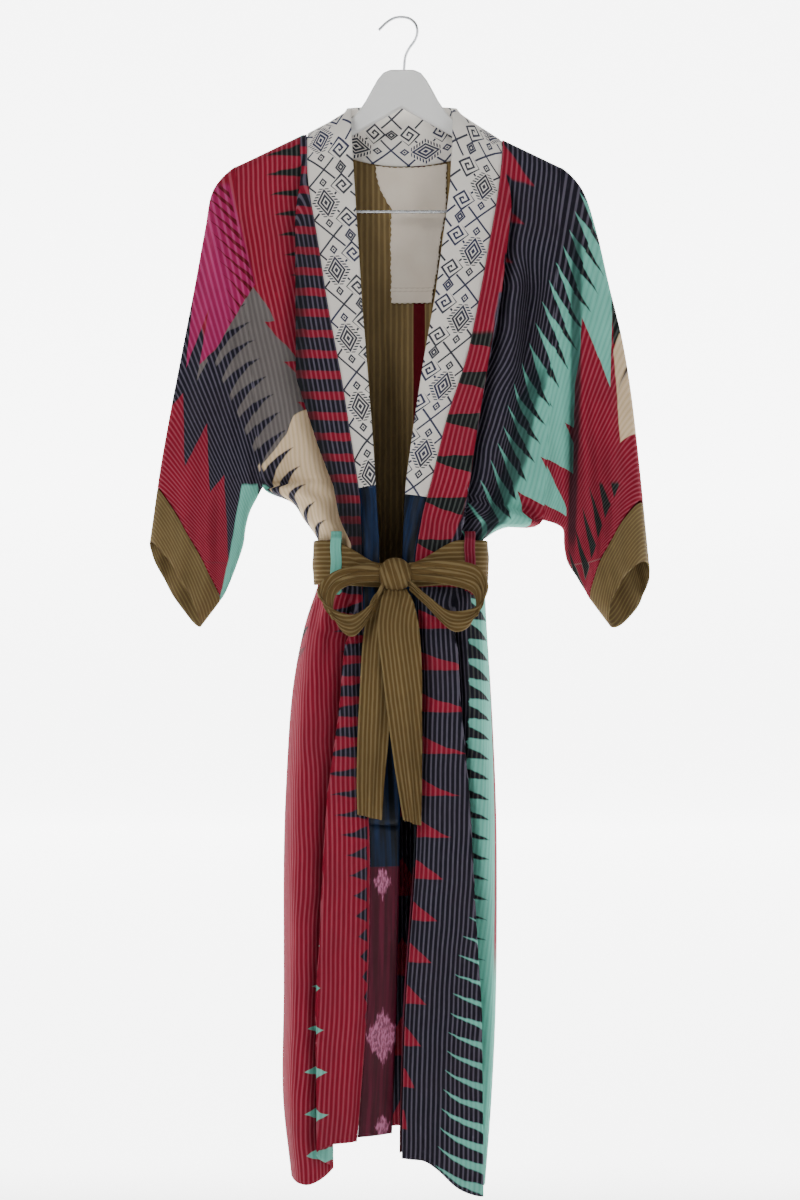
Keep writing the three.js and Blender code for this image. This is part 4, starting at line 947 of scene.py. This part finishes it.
def make_figured_band():
    """Off-white woven band: rayed diamonds in one column, hooked spirals and small diamonds in the other."""
    c = Dye("figured band", roughness=0.8)
    across, run = c.map("Cloth")
    along = c.frac(run / FIGURE_REPEAT) - 0.5
    v = along * FIGURE_REPEAT

    def diamond(u0, v0, wide, tall):
        return abs(across - u0) / wide + abs(v - v0) / tall

    def line(value, at, wide):
        return 1.0 - c.over(abs(value - at), wide * 1.3, wide * 0.5)

    sun = diamond(18.0, 0.0, 10.0, 15.0)
    ink = line(sun, 1.0, 0.11) + line(sun, 0.58, 0.12) + (1.0 - c.over(sun, 0.26, 0.1))
    rays = c.between(sun, 1.24, 1.72, 0.08) * c.over(abs(c.frac(v / 3.4) - 0.5), 0.24, 0.1)
    ink = ink + rays * (1.0 - c.over(abs(v), 17.5, 1.5))
    for end in (-25.0, 25.0):
        tip = diamond(18.0, end, 4.2, 5.0)
        ink = ink + line(tip, 0.9, 0.24) + (1.0 - c.over(tip, 0.34, 0.1))
    # Hooked spirals: the distance from a centre, measured as in a diamond, grows by one line each turn
    for centre in (-20.0, 20.0):
        du = across - 41.0
        dv = v - centre
        reach = abs(du) + abs(dv)
        turn = c.math("ARCTAN2", dv, du) / (2 * math.pi)
        coil = c.frac(reach / 7.4 - turn + 10.0)
        ink = ink + (1.0 - c.over(abs(coil - 0.5), 0.23, 0.07)) * (1.0 - c.over(reach, 14.8, 1.0))
    small = abs(across - 41.0) / 6.0 + (0.5 - abs(along)) * FIGURE_REPEAT / 7.5
    for size in (0.95, 0.45):
        ink = ink + line(small, size, 0.17)
    # Straight lines cross between the figures and stop short of them
    for slant in (across + v, across - v):
        lattice = 1.0 - c.over(abs(c.frac((slant + 41.0) / 41.0) - 0.5), 0.04, 0.014)
        past_coils = c.over(abs(across - 41.0) + abs(abs(v) - 20.0), 16.0, 1.0)
        ink = ink + lattice * c.over(sun, 1.85, 0.1) * past_coils
    ink = c.ramp(ink, 0.0, 1.0)
    threads = abs(c.frac(across / 0.9) - 0.5) * abs(c.frac(run / 0.9) - 0.5)
    cloth = c.mix(c.noise(30.0, 3.0) * 0.3, colour("dcd7cf"), colour("c3bcb4"))
    blue = c.mix(c.over(c.noise(16.0, 1.0), 0.5, 0.2), colour("141a40"), colour("1d1f2e"))
    c.set("Base Color", c.mix(c.ramp(ink * (0.85 + threads), 0.0, 1.0), cloth, blue))
    c.bump(threads * 2.0 - ink * 0.5 + c.noise(300.0, 2.0) * 0.5, 0.4, 0.0004)
    return c.material


def make_satin(name, dyed, rough, flowered=False):
    """Satin with long soft streaks of painted sheen. The flowered one has ragged pink flowers down its
    middle.
    """
    c = Dye(name, roughness=rough)
    across, run = c.map("Cloth")
    streak = c.noise(1.0, 3.0, c.vector(across / 7.0, run / 160.0, 0.0))
    # Painted sheen: the streaks turn the ground towards its lighter colour
    gleam = c.over(streak, 0.52, 0.3)
    tint = c.mix(gleam, *dyed)
    if flowered:
        x, z = c.map("Design")
        # The navy cloth runs on a little way into this band
        tint = c.mix(c.over(z, -1012.0, 1.5), tint, c.mix(gleam, *NAVY_SATIN))
        ragged = (c.noise(1.0, 4.0, c.vector(across / 3.0, run / 22.0, 0.0)) - 0.5) * 60.0
        flower = 0.0
        for height, tall in ((-1030.0, 17.0), (-1212.0, 32.0), (-1318.0, 14.0)):
            flower = flower + c.over(tall - abs(z - height + ragged * 0.5) - abs(x + 23.0) * 1.6, 0.0, 8.0)
        veins = c.over(c.noise(1.0, 3.0, c.vector(across / 2.2, run / 7.0, 0.0)), 0.5, 0.14)
        tint = c.mix(c.ramp(flower, 0.0, 1.0) * (0.35 + 0.65 * veins), tint, colour("ad6685"))
    c.set("Base Color", tint)
    c.surface.inputs["Specular IOR Level"].default_value = 0.22
    c.bump(streak + c.noise(500.0, 2.0) * 0.2, 0.35, 0.0006)
    return c.material


def make_bare_cotton():
    """Rough off-white cotton with a sewn line near its lower edge."""
    c = Dye("bare cotton", roughness=0.95)
    u, v = c.map("Cloth")
    weave = abs(c.frac(u / 0.8) - 0.5) + abs(c.frac(v / 0.8) - 0.5)
    tint = c.mix(c.noise(22.0, 4.0), colour("e6dccd"), colour("cfc0ae"))
    hem = c.between(abs(v + 322.0), 1.4, 2.6, 0.6)
    tint = c.mix(hem * 0.4, tint, colour("a8947f"))
    c.set("Base Color", tint)
    c.bump(weave + c.noise(260.0, 3.0), 0.6, 0.0005)
    return c.material


def make_paint():
    c = Dye("white paint", roughness=0.28, Coat_Weight=0.4)
    speck = c.noise(180.0, 3.0)
    c.set("Base Color", c.mix(speck * 0.25, colour("ebebe9"), colour("dddcd8")))
    c.bump(speck, 0.08, 0.0004)
    return c.material


def make_steel():
    c = Dye("bright wire", roughness=0.22, Metallic=1.0)
    drawn = c.noise(240.0, 3.0)
    c.set("Base Color", c.mix(drawn, colour("c9cbcd"), colour("a9acb0")))
    c.set("Roughness", c.ramp(drawn, 0.2, 0.8, 0.16, 0.34))
    c.bump(drawn, 0.06, 0.0002)
    return c.material


cloth_right = make_cloth_right()
cloth_left = make_cloth_left()
cloth_back = make_cloth_back()
belt_stripes = striped_cotton("olive belt cotton", OLIVE, OLIVE_DARK)
cuff_stripes = striped_cotton("olive cuff cotton", dyes("68563a", "8c7a50"), OLIVE_DARK, pitch=5.0)
lining_dyes = dyes("766343", "9d875c")
lining_stripes = striped_cotton("olive lining cotton", lining_dyes, colour("433828"), pitch=7.0, red=True)
figured_band = make_figured_band()
navy_satin = make_satin("navy satin", NAVY_SATIN, 0.36)
wine_satin = make_satin("wine satin", WINE_SATIN, 0.5, flowered=True)
bare_cotton = make_bare_cotton()
red_carrier = striped_cotton("red carrier cotton", dyes("6a1226", "8f3f4d"), colour("14151f"), pitch=4.0)
mint_carrier = striped_cotton("mint carrier cotton", TURQUOISE, colour("4d8f80"), pitch=4.0)


def panel(name, lines, columns, material, away=-1):
    """A body panel made from its rows of points. Gives back the grid that it was made from."""
    grid = np.array([evenly(line, columns) for line in lines])
    points = grid[:, :, :3]
    normals = grid_normals(points, seam=AXIS_Y) * away
    maps = {"Cloth": grid[:, :, [5, 2]], "Design": grid[:, :, 3:5]}
    keep(wall_mesh(name + "_cloth", points, CLOTH, normals, maps), name, material)
    return grid


# Camera
camera = bpy.data.objects.new("camera", bpy.data.cameras.new("camera"))
bpy.context.scene.collection.objects.link(camera)
bpy.context.scene.camera = camera
camera.data.sensor_width = 36
camera.data.lens = 75
camera.location = (-0.0024, -3.0, -0.6978)
camera.rotation_euler = (math.pi / 2, 0, 0)
bpy.context.scene.render.resolution_x = 800
bpy.context.scene.render.resolution_y = 1200

# Fronts, back, lining, patch
fine_t = np.linspace(0, 1, 241)
RIGHT_SHAPE = (FRONT_RIGHT_ROWS, RIGHT_LAPS, RIGHT_SOFT, RIGHT_VALLEYS, RIGHT_CREASES)
LEFT_SHAPE = (FRONT_LEFT_ROWS, LEFT_LAPS, LEFT_SOFT, LEFT_VALLEYS, LEFT_CREASES)
for name, shape, slot, material, away in (
    ("front_right", RIGHT_SHAPE, "striped_red", cloth_right, -1),
    ("front_left", LEFT_SHAPE, "striped_navy", cloth_left, 1),
):
    lines = [front_line(*shape, k, fine_t) for k in BODY_ROWS]
    panel(name, lines, 72, material, away)
back_t = np.linspace(-1, 1, 481)
back_lines = [back_line(k, back_t) for k in BODY_ROWS]
back_grid = panel("back", back_lines, 100, cloth_back)
back_normals = grid_normals(back_grid[:, :, :3])

# The lining lies inside the back, from just under the neckline to the waist
LINING_TOP_ROW = 0.15
LINING_LAST_ROW = 11.6
LINING_INSET = 16
LINING_WALL = 1
lined = (BODY_ROWS >= LINING_TOP_ROW) & (BODY_ROWS <= LINING_LAST_ROW)
lining_grid = back_grid[lined][:, LINING_INSET:-LINING_INSET]
lining_normals = back_normals[lined][:, LINING_INSET:-LINING_INSET]
lining_points = lining_grid[:, :, :3] - lining_normals * (CLOTH + SEAM_GAP)
maps = {"Cloth": lining_grid[:, :, [5, 2]], "Design": lining_grid[:, :, 3:5]}
lining = wall_mesh("back_lining_cloth", lining_points, LINING_WALL, -lining_normals, maps)
keep(lining, "back_lining", lining_stripes)

# The torn patch: z, left edge, right edge
PATCH_EDGES = np.array([
    [-174, -32, 54], [-200, -28, 53], [-226, -12, 53], [-262, -13, 47], [-300, -14, 42], [-338, -14, 37],
])
PATCH_TOP = -176.5
PATCH_BOTTOM = -338
PATCH_COLUMNS = 36
PATCH_WALL = 0.7
PATCH_LIFT = 4.9
patch_rows = []
middle_z = back_grid[:, 50, 2]
for z in np.linspace(PATCH_TOP, PATCH_BOTTOM, 66):
    left = np.interp(-z, -PATCH_EDGES[:, 0], PATCH_EDGES[:, 1])
    left += 0.7 * math.sin(z * 0.9) + 0.5 * math.sin(z * 2.3)
    right = np.interp(-z, -PATCH_EDGES[:, 0], PATCH_EDGES[:, 2])
    right += 0.7 * math.sin(z * 1.1 + 2) + 0.4 * math.sin(z * 2.9)
    row = int(np.argmin(np.abs(middle_z - z)))
    xs = np.linspace(left, right, PATCH_COLUMNS)
    order = back_grid[row, :, 0]
    point = np.stack([np.interp(xs, order, back_grid[row, :, c]) for c in range(3)], 1)
    point[:, 2] += z - middle_z[row] + 0.5 * np.sin(xs * 0.9 + z)
    away = np.stack([np.interp(xs, order, back_normals[row, :, c]) for c in range(3)], 1)
    lift = PATCH_LIFT + 0.5 * np.sin(xs * 0.12 + z * 0.03) + 0.4 * np.sin(z * 0.11)
    flat = np.stack([xs, np.full(PATCH_COLUMNS, z)], 1)
    patch_rows.append(np.concatenate([point - away * lift[:, None], flat], 1))
patch = np.array(patch_rows)
patch_normals = grid_normals(patch[:, :, :3])
maps = {"Cloth": patch[:, :, 3:5], "Design": patch[:, :, 3:5]}
patch_piece = wall_mesh("neck_patch_cloth", patch[:, :, :3], PATCH_WALL, -patch_normals, maps)
keep(patch_piece, "neck_patch", bare_cotton)

# Sleeves and cuffs
AROUND = 110
ARMHOLE_GAP = 0.4
CUFF_RINGS = 14
CLOTH_PER_DEGREE = 6.6
STRIPE_HUB_X = 107
STRIPE_HUB_Z = -768
near_armhole = [0, 0.05, 0.12, 0.2, 0.3]
ring_places = np.concatenate([
    near_armhole, np.linspace(0.42, CUFF_SEAM_RING, 62), np.linspace(7.06, 8, CUFF_RINGS),
])
seam = len(ring_places) - CUFF_RINGS
around = (np.arange(AROUND) + 0.5) / AROUND
for side, rings, rows, creases, slot, material, sign in (
    ("right", RIGHT_SLEEVE_RINGS, FRONT_RIGHT_ROWS, RIGHT_SLEEVE_CREASES, "striped_red", cloth_right, -1),
    ("left", LEFT_SLEEVE_RINGS, FRONT_LEFT_ROWS, LEFT_SLEEVE_CREASES, "striped_navy", cloth_left, 1),
):
    grid = np.array([sleeve_ring(rings, rows, creases, ring, around) for ring in ring_places])
    grid[:, :, 0] += sign * ARMHOLE_GAP
    points = grid[:, :, :3]
    normals = grid_normals(points, closed=True, seam=seam_axis(rows)) * sign
    # The stripes turn with the drooping sleeve: they run towards one point under the arm
    turn = np.degrees(np.arctan2(np.abs(grid[:, :, 3] - STRIPE_HUB_X * sign), grid[:, :, 4] - STRIPE_HUB_Z))
    sleeve_maps = {
        "Cloth": np.stack([turn[:seam] * CLOTH_PER_DEGREE, grid[:seam, :, 2]], 2),
        "Design": grid[:seam, :, 3:5],
    }
    sleeve = wall_mesh(f"sleeve_{side}_cloth", points[:seam], CLOTH, normals[:seam], sleeve_maps, closed=True)
    keep(sleeve, f"sleeve_{side}", material)
    # A cuff's stripes run round the arm
    from_seam = np.linalg.norm(points[seam:] - points[seam], axis=2)
    round_arm = far_along(points[seam])
    cuff_maps = {
        "Cloth": np.stack([from_seam, np.broadcast_to(round_arm, from_seam.shape)], 2),
        "Design": grid[seam:, :, 3:5],
    }
    cuff = wall_mesh(f"cuff_{side}_cloth", points[seam:], CLOTH, normals[seam:], cuff_maps, closed=True)
    keep(cuff, f"cuff_{side}", cuff_stripes)

# The band round the opening
BAND_OFF = 0.5
NECK_OFF = 1.6
NECK_LAP = 4.5
NECK_LAP_IN = 5.2
BAND_BOW = 2.5
ACROSS = np.linspace(0, 1, 15)
BAND_MIDDLE = 7
SATIN_FROM_ROW = 7.5
WINE_FROM_ROW = 15.5
BAND_LAST_ROW = 18.9


def across_band(sewn, free, bow):
    """Points from the sewn edge of the band to its free edge, bowed out between them."""
    straight = lerp(np.array(sewn), np.array(free), ACROSS[:, None])
    return straight + np.array(bow) * np.sin(ACROSS * math.pi)[:, None]


def neck_row(s):
    """The band across, s of the way round the back of the neck from the wearer's right."""
    x, y, z = back_line(0, np.array([lerp(-NECK_SHARE, NECK_SHARE, s)]))[0, :3]
    lift = 1 - abs(2 * s - 1) ** 3
    free = (x * lerp(0.51, 0.9, lift), lerp(12, 36, lift), lerp(-106, -100, lift))
    inward = lerp(0.955 if x < 0 else 0.99, 1, lift)
    sewn = (x * inward, y - NECK_LAP_IN * lift, z + lerp(NECK_OFF, -NECK_LAP, lift))
    return across_band(sewn, free, (0, BAND_BOW * lift, 0))


def front_row(shape, edge, k, sign):
    """The band across, beside row k of a front. Low down on the left it is turned in behind the front."""
    sx, sy, sz = front_line(*shape, k, np.array([0.0]))[0, :3]
    free = [np.interp(k, edge[:, 0], edge[:, c]) for c in (1, 2, 3)]
    off = lerp(NECK_OFF, BAND_OFF, smooth(k / 2))
    flat = across_band((sx - sign * off, sy, sz), free, (0, -BAND_BOW * smooth(k), 0))
    turned = smooth((k - TURNED_FROM) / (TURNED_BY - TURNED_FROM)) if sign > 0 else 0
    under_x = sx - 2 * CLOTH + TURNED_REACH * ACROSS**2
    under_y = sy + 1 + TURNED_DROP * np.sin(ACROSS * math.pi / 2)
    return np.stack([
        lerp(flat[:, 0], under_x, turned**2),
        lerp(flat[:, 1], under_y, smooth(turned * 2)),
        lerp(flat[:, 2], sz, turned),
    ], 1)


near_neck = [0.12, 0.2, 0.3, 0.4, 0.55, 0.8, 1.0]
band_ks = np.concatenate([near_neck, np.arange(1.2, BAND_LAST_ROW, 0.08), [BAND_LAST_ROW]])
neck_ss = smooth(np.linspace(0, 1, 61))
strip = [front_row(RIGHT_SHAPE, RIGHT_FREE_EDGE, k, -1) for k in band_ks[::-1]]
strip += [neck_row(s) for s in neck_ss]
strip += [front_row(LEFT_SHAPE, LEFT_FREE_EDGE, k, 1) for k in band_ks]
strip = np.array(strip)
# Slow shallow waves along the band
run = far_along(strip[:, BAND_MIDDLE])
strip_normals = grid_normals(strip)
soft_wave = 0.5 * np.sin(run * 0.05) + 0.4 * np.sin(run * 0.13 + 1)
strip = strip + strip_normals * (soft_wave[:, None, None] * np.sin(ACROSS * math.pi)[None, :, None])
band_maps = strip_maps(strip, run)
right_end = len(band_ks)
left_start = right_end + len(neck_ss) - 1
satin_from = int(np.argmin(np.abs(band_ks - SATIN_FROM_ROW)))
wine_from = int(np.argmin(np.abs(band_ks - WINE_FROM_ROW)))
right_wine_end = right_end - 1 - wine_from
right_satin_end = right_end - 1 - satin_from
left_satin_start = left_start + 1 + satin_from
left_wine_start = left_start + 1 + wine_from
for name, start, stop, slot, material in (
    ("wine_band_right", 0, right_wine_end, "wine", wine_satin),
    ("satin_band_right", right_wine_end, right_satin_end, "satin", navy_satin),
    ("collar_right", right_satin_end, right_end, "jacquard", figured_band),
    ("collar_back", right_end, left_start, "jacquard", figured_band),
    ("collar_left", left_start, left_satin_start, "jacquard", figured_band),
    ("satin_band_left", left_satin_start, left_wine_start, "satin", navy_satin),
    ("wine_band_left", left_wine_start, len(strip) - 1, "wine", wine_satin),
):
    part = slice(start, stop + 1)
    wall = DOUBLE_CLOTH if slot == "jacquard" else CLOTH
    maps = {title: values[part] for title, values in band_maps.items()}
    band = wall_mesh(name + "_cloth", strip[part], wall, -strip_normals[part], maps, rim_out=0.02)
    keep(band, name, material)

# Belt
BELT_HALF_WIDTH = 101.5
BELT_MIDDLE_X = -1.5
BELT_DEPTH = 51
BELT_TOP = -628
BELT_BOTTOM = -679
BELT_TOP_AT_KNOT = -655
BELT_BOTTOM_AT_KNOT = -681
KNOT_X = -8
KNOT_Y = -66.1
KNOT_Z = -668
KNOT_HALF_WIDTH = 17
KNOT_HALF_DEPTH = 12


def belt_row(s):
    """The belt across, s of the way round the waist. It is drawn narrower towards the knot."""
    f = np.linspace(0, 1, 22)
    angle = -math.pi / 2 + lerp(0.03, 1.97, s) * math.pi
    c = math.cos(angle)
    d = math.sin(angle)
    r = (abs(c) ** 4 + abs(d) ** 4) ** -0.25
    x = BELT_MIDDLE_X + BELT_HALF_WIDTH * c * r
    y = BELT_DEPTH * d * r
    away = smooth((abs(x - KNOT_X) - 16) / 62) if y < 0 else 1
    top = lerp(BELT_TOP_AT_KNOT, BELT_TOP, away)
    bottom = lerp(BELT_BOTTOM_AT_KNOT, BELT_BOTTOM, away)
    swell = 2 * np.sin(f * math.pi) + 1.2 * (1 - away) * np.sin(f * 9)
    pleat = (0.5 + 0.9 * (1 - away)) * np.sin(f * 13 + 0.02 * x + 1) + 0.5 * np.sin(x * 0.09 + f * 3)
    swell = swell + np.abs(pleat)
    return np.stack([x + swell * c / 1.5, y + swell * d, lerp(bottom, top, f)], 1)


def strip_piece(node, points, material, wall=DOUBLE_CLOTH, away=-1):
    """A strip of cloth given row by row along its length."""
    points = np.array(points)
    maps = strip_maps(points, far_along(points[:, points.shape[1] // 2]))
    keep(wall_mesh(node + "_cloth", points, wall, grid_normals(points) * away, maps), node, material)


strip_piece("belt_waist", [belt_row(s) for s in np.linspace(0, 1, 260)], belt_stripes)

# The bow's loops: x, y, z, half width, lean of the width away from upright
LOOPS = {
    "right": [
        [-24.5, -72, -684, 8, 0.5], [-38, -80, -712, 10, 0.2], [-58, -84, -728, 12, -0.1],
        [-80, -82, -718, 15, -0.5], [-90, -76, -698, 14, -0.7], [-80, -70, -678, 11, -0.3],
        [-56, -66, -668, 9, 0.1], [-26.5, -67.5, -666, 8, 0],
    ],
    "left": [
        [8.5, -73, -680, 8, -0.3], [30, -82, -700, 10, -0.3], [56, -86, -722, 11, -0.1],
        [82, -82, -718, 13, 0.4], [94, -74, -696, 15, 0.5], [86, -68, -674, 15, 0.2],
        [52, -66, -665, 13, 0], [10.5, -67.5, -665, 8, 0],
    ],
}
# Its tails: x, y, z, half width
TAILS = {
    "front": [
        [-8, -67.6, -685, 12], [-6, -77, -700, 18], [-4, -82, -732, 23], [0, -82, -780, 22],
        [3, -81, -830, 19], [7, -80, -890, 15], [12, -79, -958, 9],
    ],
    "back": [
        [-14.5, -62.5, -684, 9], [-22, -66, -700, 14], [-26, -70, -740, 18], [-30, -72, -800, 18],
        [-34, -72, -860, 17], [-37, -72, -910, 15], [-38, -72, -952, 13],
    ],
}
for side, rows in LOOPS.items():
    rows = np.array(rows, float)
    f = np.linspace(-1, 1, 17)
    points = []
    for k in np.linspace(0, len(rows) - 1, 130):
        x, y, z, half, lean = read_rows(rows, k)
        near = math.sin(math.pi * k / (len(rows) - 1))
        fold = 1.5 * near * np.sin(f * 4.4 + k * 0.9) + 0.9 * near * np.sin(f * 9 - k * 1.7)
        fold = fold + 1.9 * (1 - near) * np.cos(f * 8)
        points.append(np.stack([x + f * half * math.sin(lean), y - fold, z + f * half * math.cos(lean)], 1))
    away = -1 if side == "right" else 1
    strip_piece(f"bow_loop_{side}", points, belt_stripes, away=away)
for name, rows in TAILS.items():
    rows = np.array(rows, float)
    f = np.linspace(-1, 1, 27)
    points = []
    for k in np.linspace(0, len(rows) - 1, 90):
        x, y, z, half = read_rows(rows, k)
        crease = 3 * smooth(k / 2)
        gather = 1.3 * math.exp(-k * 1.2) * np.cos(f * 11) + 0.5 * np.sin(f * 7 + k * 1.4)
        out = y - crease * np.cos(f * 4.4) - gather
        points.append(np.stack([x + f * half, out, z - 3 * f * smooth(k - 5)], 1))
    strip_piece(f"belt_tail_{name}", points, belt_stripes, away=1)

# The knot: the belt wrapped once over itself, its pleats drawn together at the middle
knot_rows = []
v = np.linspace(0, 2 * math.pi, 90, endpoint=False)
for u in np.linspace(0.02, math.pi - 0.02, 60):
    nx = math.cos(u) * np.ones_like(v)
    ny = -math.sin(u) * np.cos(v)
    nz = math.sin(u) * np.sin(v)
    squared = 1 + 0.12 * (1 - np.abs(nx)) * (1 - np.abs(nz))
    dent = 0.1 * np.exp(-((nx * 2.2) ** 2) - ((nz + 0.75) * 2.6) ** 2)
    fat = squared * (1 + 0.035 * np.sin(nx * 14 + 3 * nz) * (1 - nz**2) - dent)
    flat = np.where(ny > 0, 0.9, 1.0)
    x = KNOT_X + nx * KNOT_HALF_WIDTH * fat
    y = KNOT_Y + ny * KNOT_HALF_DEPTH * flat * fat
    knot_rows.append(np.stack([x, y, KNOT_Z + nz * KNOT_HALF_WIDTH * fat], 1))
knot = np.array(knot_rows)
maps = {
    "Cloth": np.stack([knot[:, :, 0] + 0.3 * knot[:, :, 2], knot[:, :, 2]], 2),
    "Design": knot[:, :, [0, 2]],
}
knot_piece = wall_mesh("belt_knot_cloth", knot, 3, grid_normals(knot, closed=True), maps, closed=True,
                       rim_out=0)
keep(knot_piece, "belt_knot", belt_stripes)

# Belt carriers: narrow strips sewn to the front above and below the belt. Height, how far out
CARRIER_PROFILE = np.array([
    [-617, 0], [-622, 0.4], [-626, 1], [-640, 1], [-654, 1], [-668, 1], [-682, 1], [-686, 0.4], [-691, 0],
])
CARRIER_WALL = 1.2
heights = np.linspace(-617, -691, 50)
outs = smooth(np.interp(-heights, -CARRIER_PROFILE[:, 0], CARRIER_PROFILE[:, 1]))
for side, material in (("right", mint_carrier), ("left", red_carrier)):
    low, high = (Vector(corner) * 1000 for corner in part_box(f"carrier_{side}"))
    across = np.linspace(low.x, high.x, 13)
    points = []
    for z, out in zip(heights, outs):
        y = lerp(high.y, low.y + 1.4, out) - 0.25 * np.cos(across * 1.1)
        points.append(np.stack([across + 0.4 * math.sin(z * 0.2), y, np.full(len(across), z)], 1))
    strip_piece(f"carrier_{side}", points, material, wall=CARRIER_WALL)

# What each sheet was cut to: width, length, how it is held, what it rests on
CUTS = {
    "front_right": (0.235, 1.26, "hung", "hanger_body"),
    "front_left": (0.235, 1.27, "hung", "hanger_body"),
    "back": (0.48, 1.26, "hung", "hanger_body"),
    "back_lining": (0.31, 0.46, "hung", "back_cloth"),
    "neck_patch": (0.075, 0.155, "hung", "back_lining_cloth"),
    "sleeve_right": (0.72, 0.14, "hung", "front_right_cloth"),
    "sleeve_left": (0.74, 0.14, "hung", "front_left_cloth"),
    "cuff_right": (0.31, 0.05, "hung", "sleeve_right_cloth"),
    "cuff_left": (0.31, 0.05, "hung", "sleeve_left_cloth"),
    "collar_right": (0.062, 0.43, "hung", "front_right_cloth"),
    "collar_left": (0.062, 0.44, "hung", "front_left_cloth"),
    "collar_back": (0.07, 0.26, "hung", "back_cloth"),
    "satin_band_right": (0.03, 0.39, "hung", "front_right_cloth"),
    "satin_band_left": (0.03, 0.38, "hung", "front_left_cloth"),
    "wine_band_right": (0.038, 0.38, "hung", "front_right_cloth"),
    "wine_band_left": (0.04, 0.38, "hung", "front_left_cloth"),
    "belt_waist": (0.052, 0.52, "gathered", "back_cloth"),
    "bow_loop_right": (0.03, 0.18, "folded", "belt_knot_cloth"),
    "bow_loop_left": (0.03, 0.18, "folded", "belt_knot_cloth"),
    "belt_tail_front": (0.045, 0.28, "hung", "belt_knot_cloth"),
    "belt_tail_back": (0.036, 0.28, "hung", "belt_knot_cloth"),
    "carrier_right": (0.012, 0.095, "stretched", "front_right_cloth"),
    "carrier_left": (0.012, 0.095, "stretched", "front_left_cloth"),
}
# The panels narrow towards the waist, so they cover less than their width times their length
for name, (width, length, held, under) in CUTS.items():
    pieces[name + "_cloth"]

# Hanger, floor and light
for node, material in (("hanger_body", make_paint()), ("hanger_hook", make_steel()),
                       ("hanger_bar", make_steel())):
    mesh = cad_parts[node].data
    for n in range(len(mesh.materials)):
        mesh.materials[n] = material

FLOOR_Z = -1.5
PAPER_SIDE = 14.0
PAPER_RISES_AT = 5.8
PAPER_CURVE = 1.2
PAPER_TOP = 8.0
CURVE_STEPS = 12
paper_rows = [(-PAPER_SIDE, FLOOR_Z), (PAPER_RISES_AT, FLOOR_Z)]
for step in range(1, CURVE_STEPS + 1):
    angle = step / CURVE_STEPS * math.pi / 2
    y = PAPER_RISES_AT + PAPER_CURVE * math.sin(angle)
    paper_rows.append((y, FLOOR_Z + PAPER_CURVE * (1 - math.cos(angle))))
paper_rows.append((PAPER_RISES_AT + PAPER_CURVE, PAPER_TOP))
studio_verts = [(x, y, z) for y, z in paper_rows for x in (-PAPER_SIDE, PAPER_SIDE)]
studio_faces = [(2 * n, 2 * n + 1, 2 * n + 3, 2 * n + 2) for n in range(len(paper_rows) - 1)]
studio_mesh = bpy.data.meshes.new("studio_floor")
studio_mesh.from_pydata(studio_verts, [], studio_faces)
studio_mesh.polygons.foreach_set("use_smooth", [True] * len(studio_mesh.polygons))
studio = bpy.data.objects.new("studio_floor", studio_mesh)
bpy.context.scene.collection.objects.link(studio)
pale = Dye("studio paper", roughness=1.0)
pale.set("Base Color", colour("fbfbfb"))
# Only the paper behind the garment glows, so the background is white and the folds keep their shade
paper_place = Value(pale, pale.node("TexCoord").outputs["Object"])
far_back = Value(pale, pale.node("SeparateXYZ", {0: paper_place}).outputs[1])
pale.set("Emission Color", pale.mix(pale.ramp(far_back, -0.1, 0.6), colour("000000"), colour("ffffff")))
pale.set("Emission Strength", 5.0)
studio_mesh.materials.append(pale.material)


def soft_light(name, place, size, power):
    """A soft rectangular light turned towards the middle of the garment."""
    light = bpy.data.objects.new(name, bpy.data.lights.new(name, "AREA"))
    light.data.shape = "RECTANGLE"
    light.data.size, light.data.size_y = size
    light.data.energy = power
    light.location = place
    light.rotation_euler = (GARMENT_MIDDLE - Vector(place)).to_track_quat("-Z", "Y").to_euler()
    bpy.context.scene.collection.objects.link(light)


GARMENT_MIDDLE = Vector((0, 0, -0.7))
WORLD_LIGHT = 0.1
soft_light("key light", (-1.6, -2.8, 1.2), (1.0, 1.6), 62)
soft_light("fill light", (2.2, -2.6, 0.2), (1.4, 2.0), 24)
soft_light("top light", (0.2, -0.6, 2.2), (2.4, 1.6), 18)
world = bpy.context.scene.world or bpy.data.worlds.new("studio")
bpy.context.scene.world = world
world.use_nodes = True
world.node_tree.nodes["Background"].inputs[0].default_value = (1, 1, 1, 1)
world.node_tree.nodes["Background"].inputs[1].default_value = WORLD_LIGHT
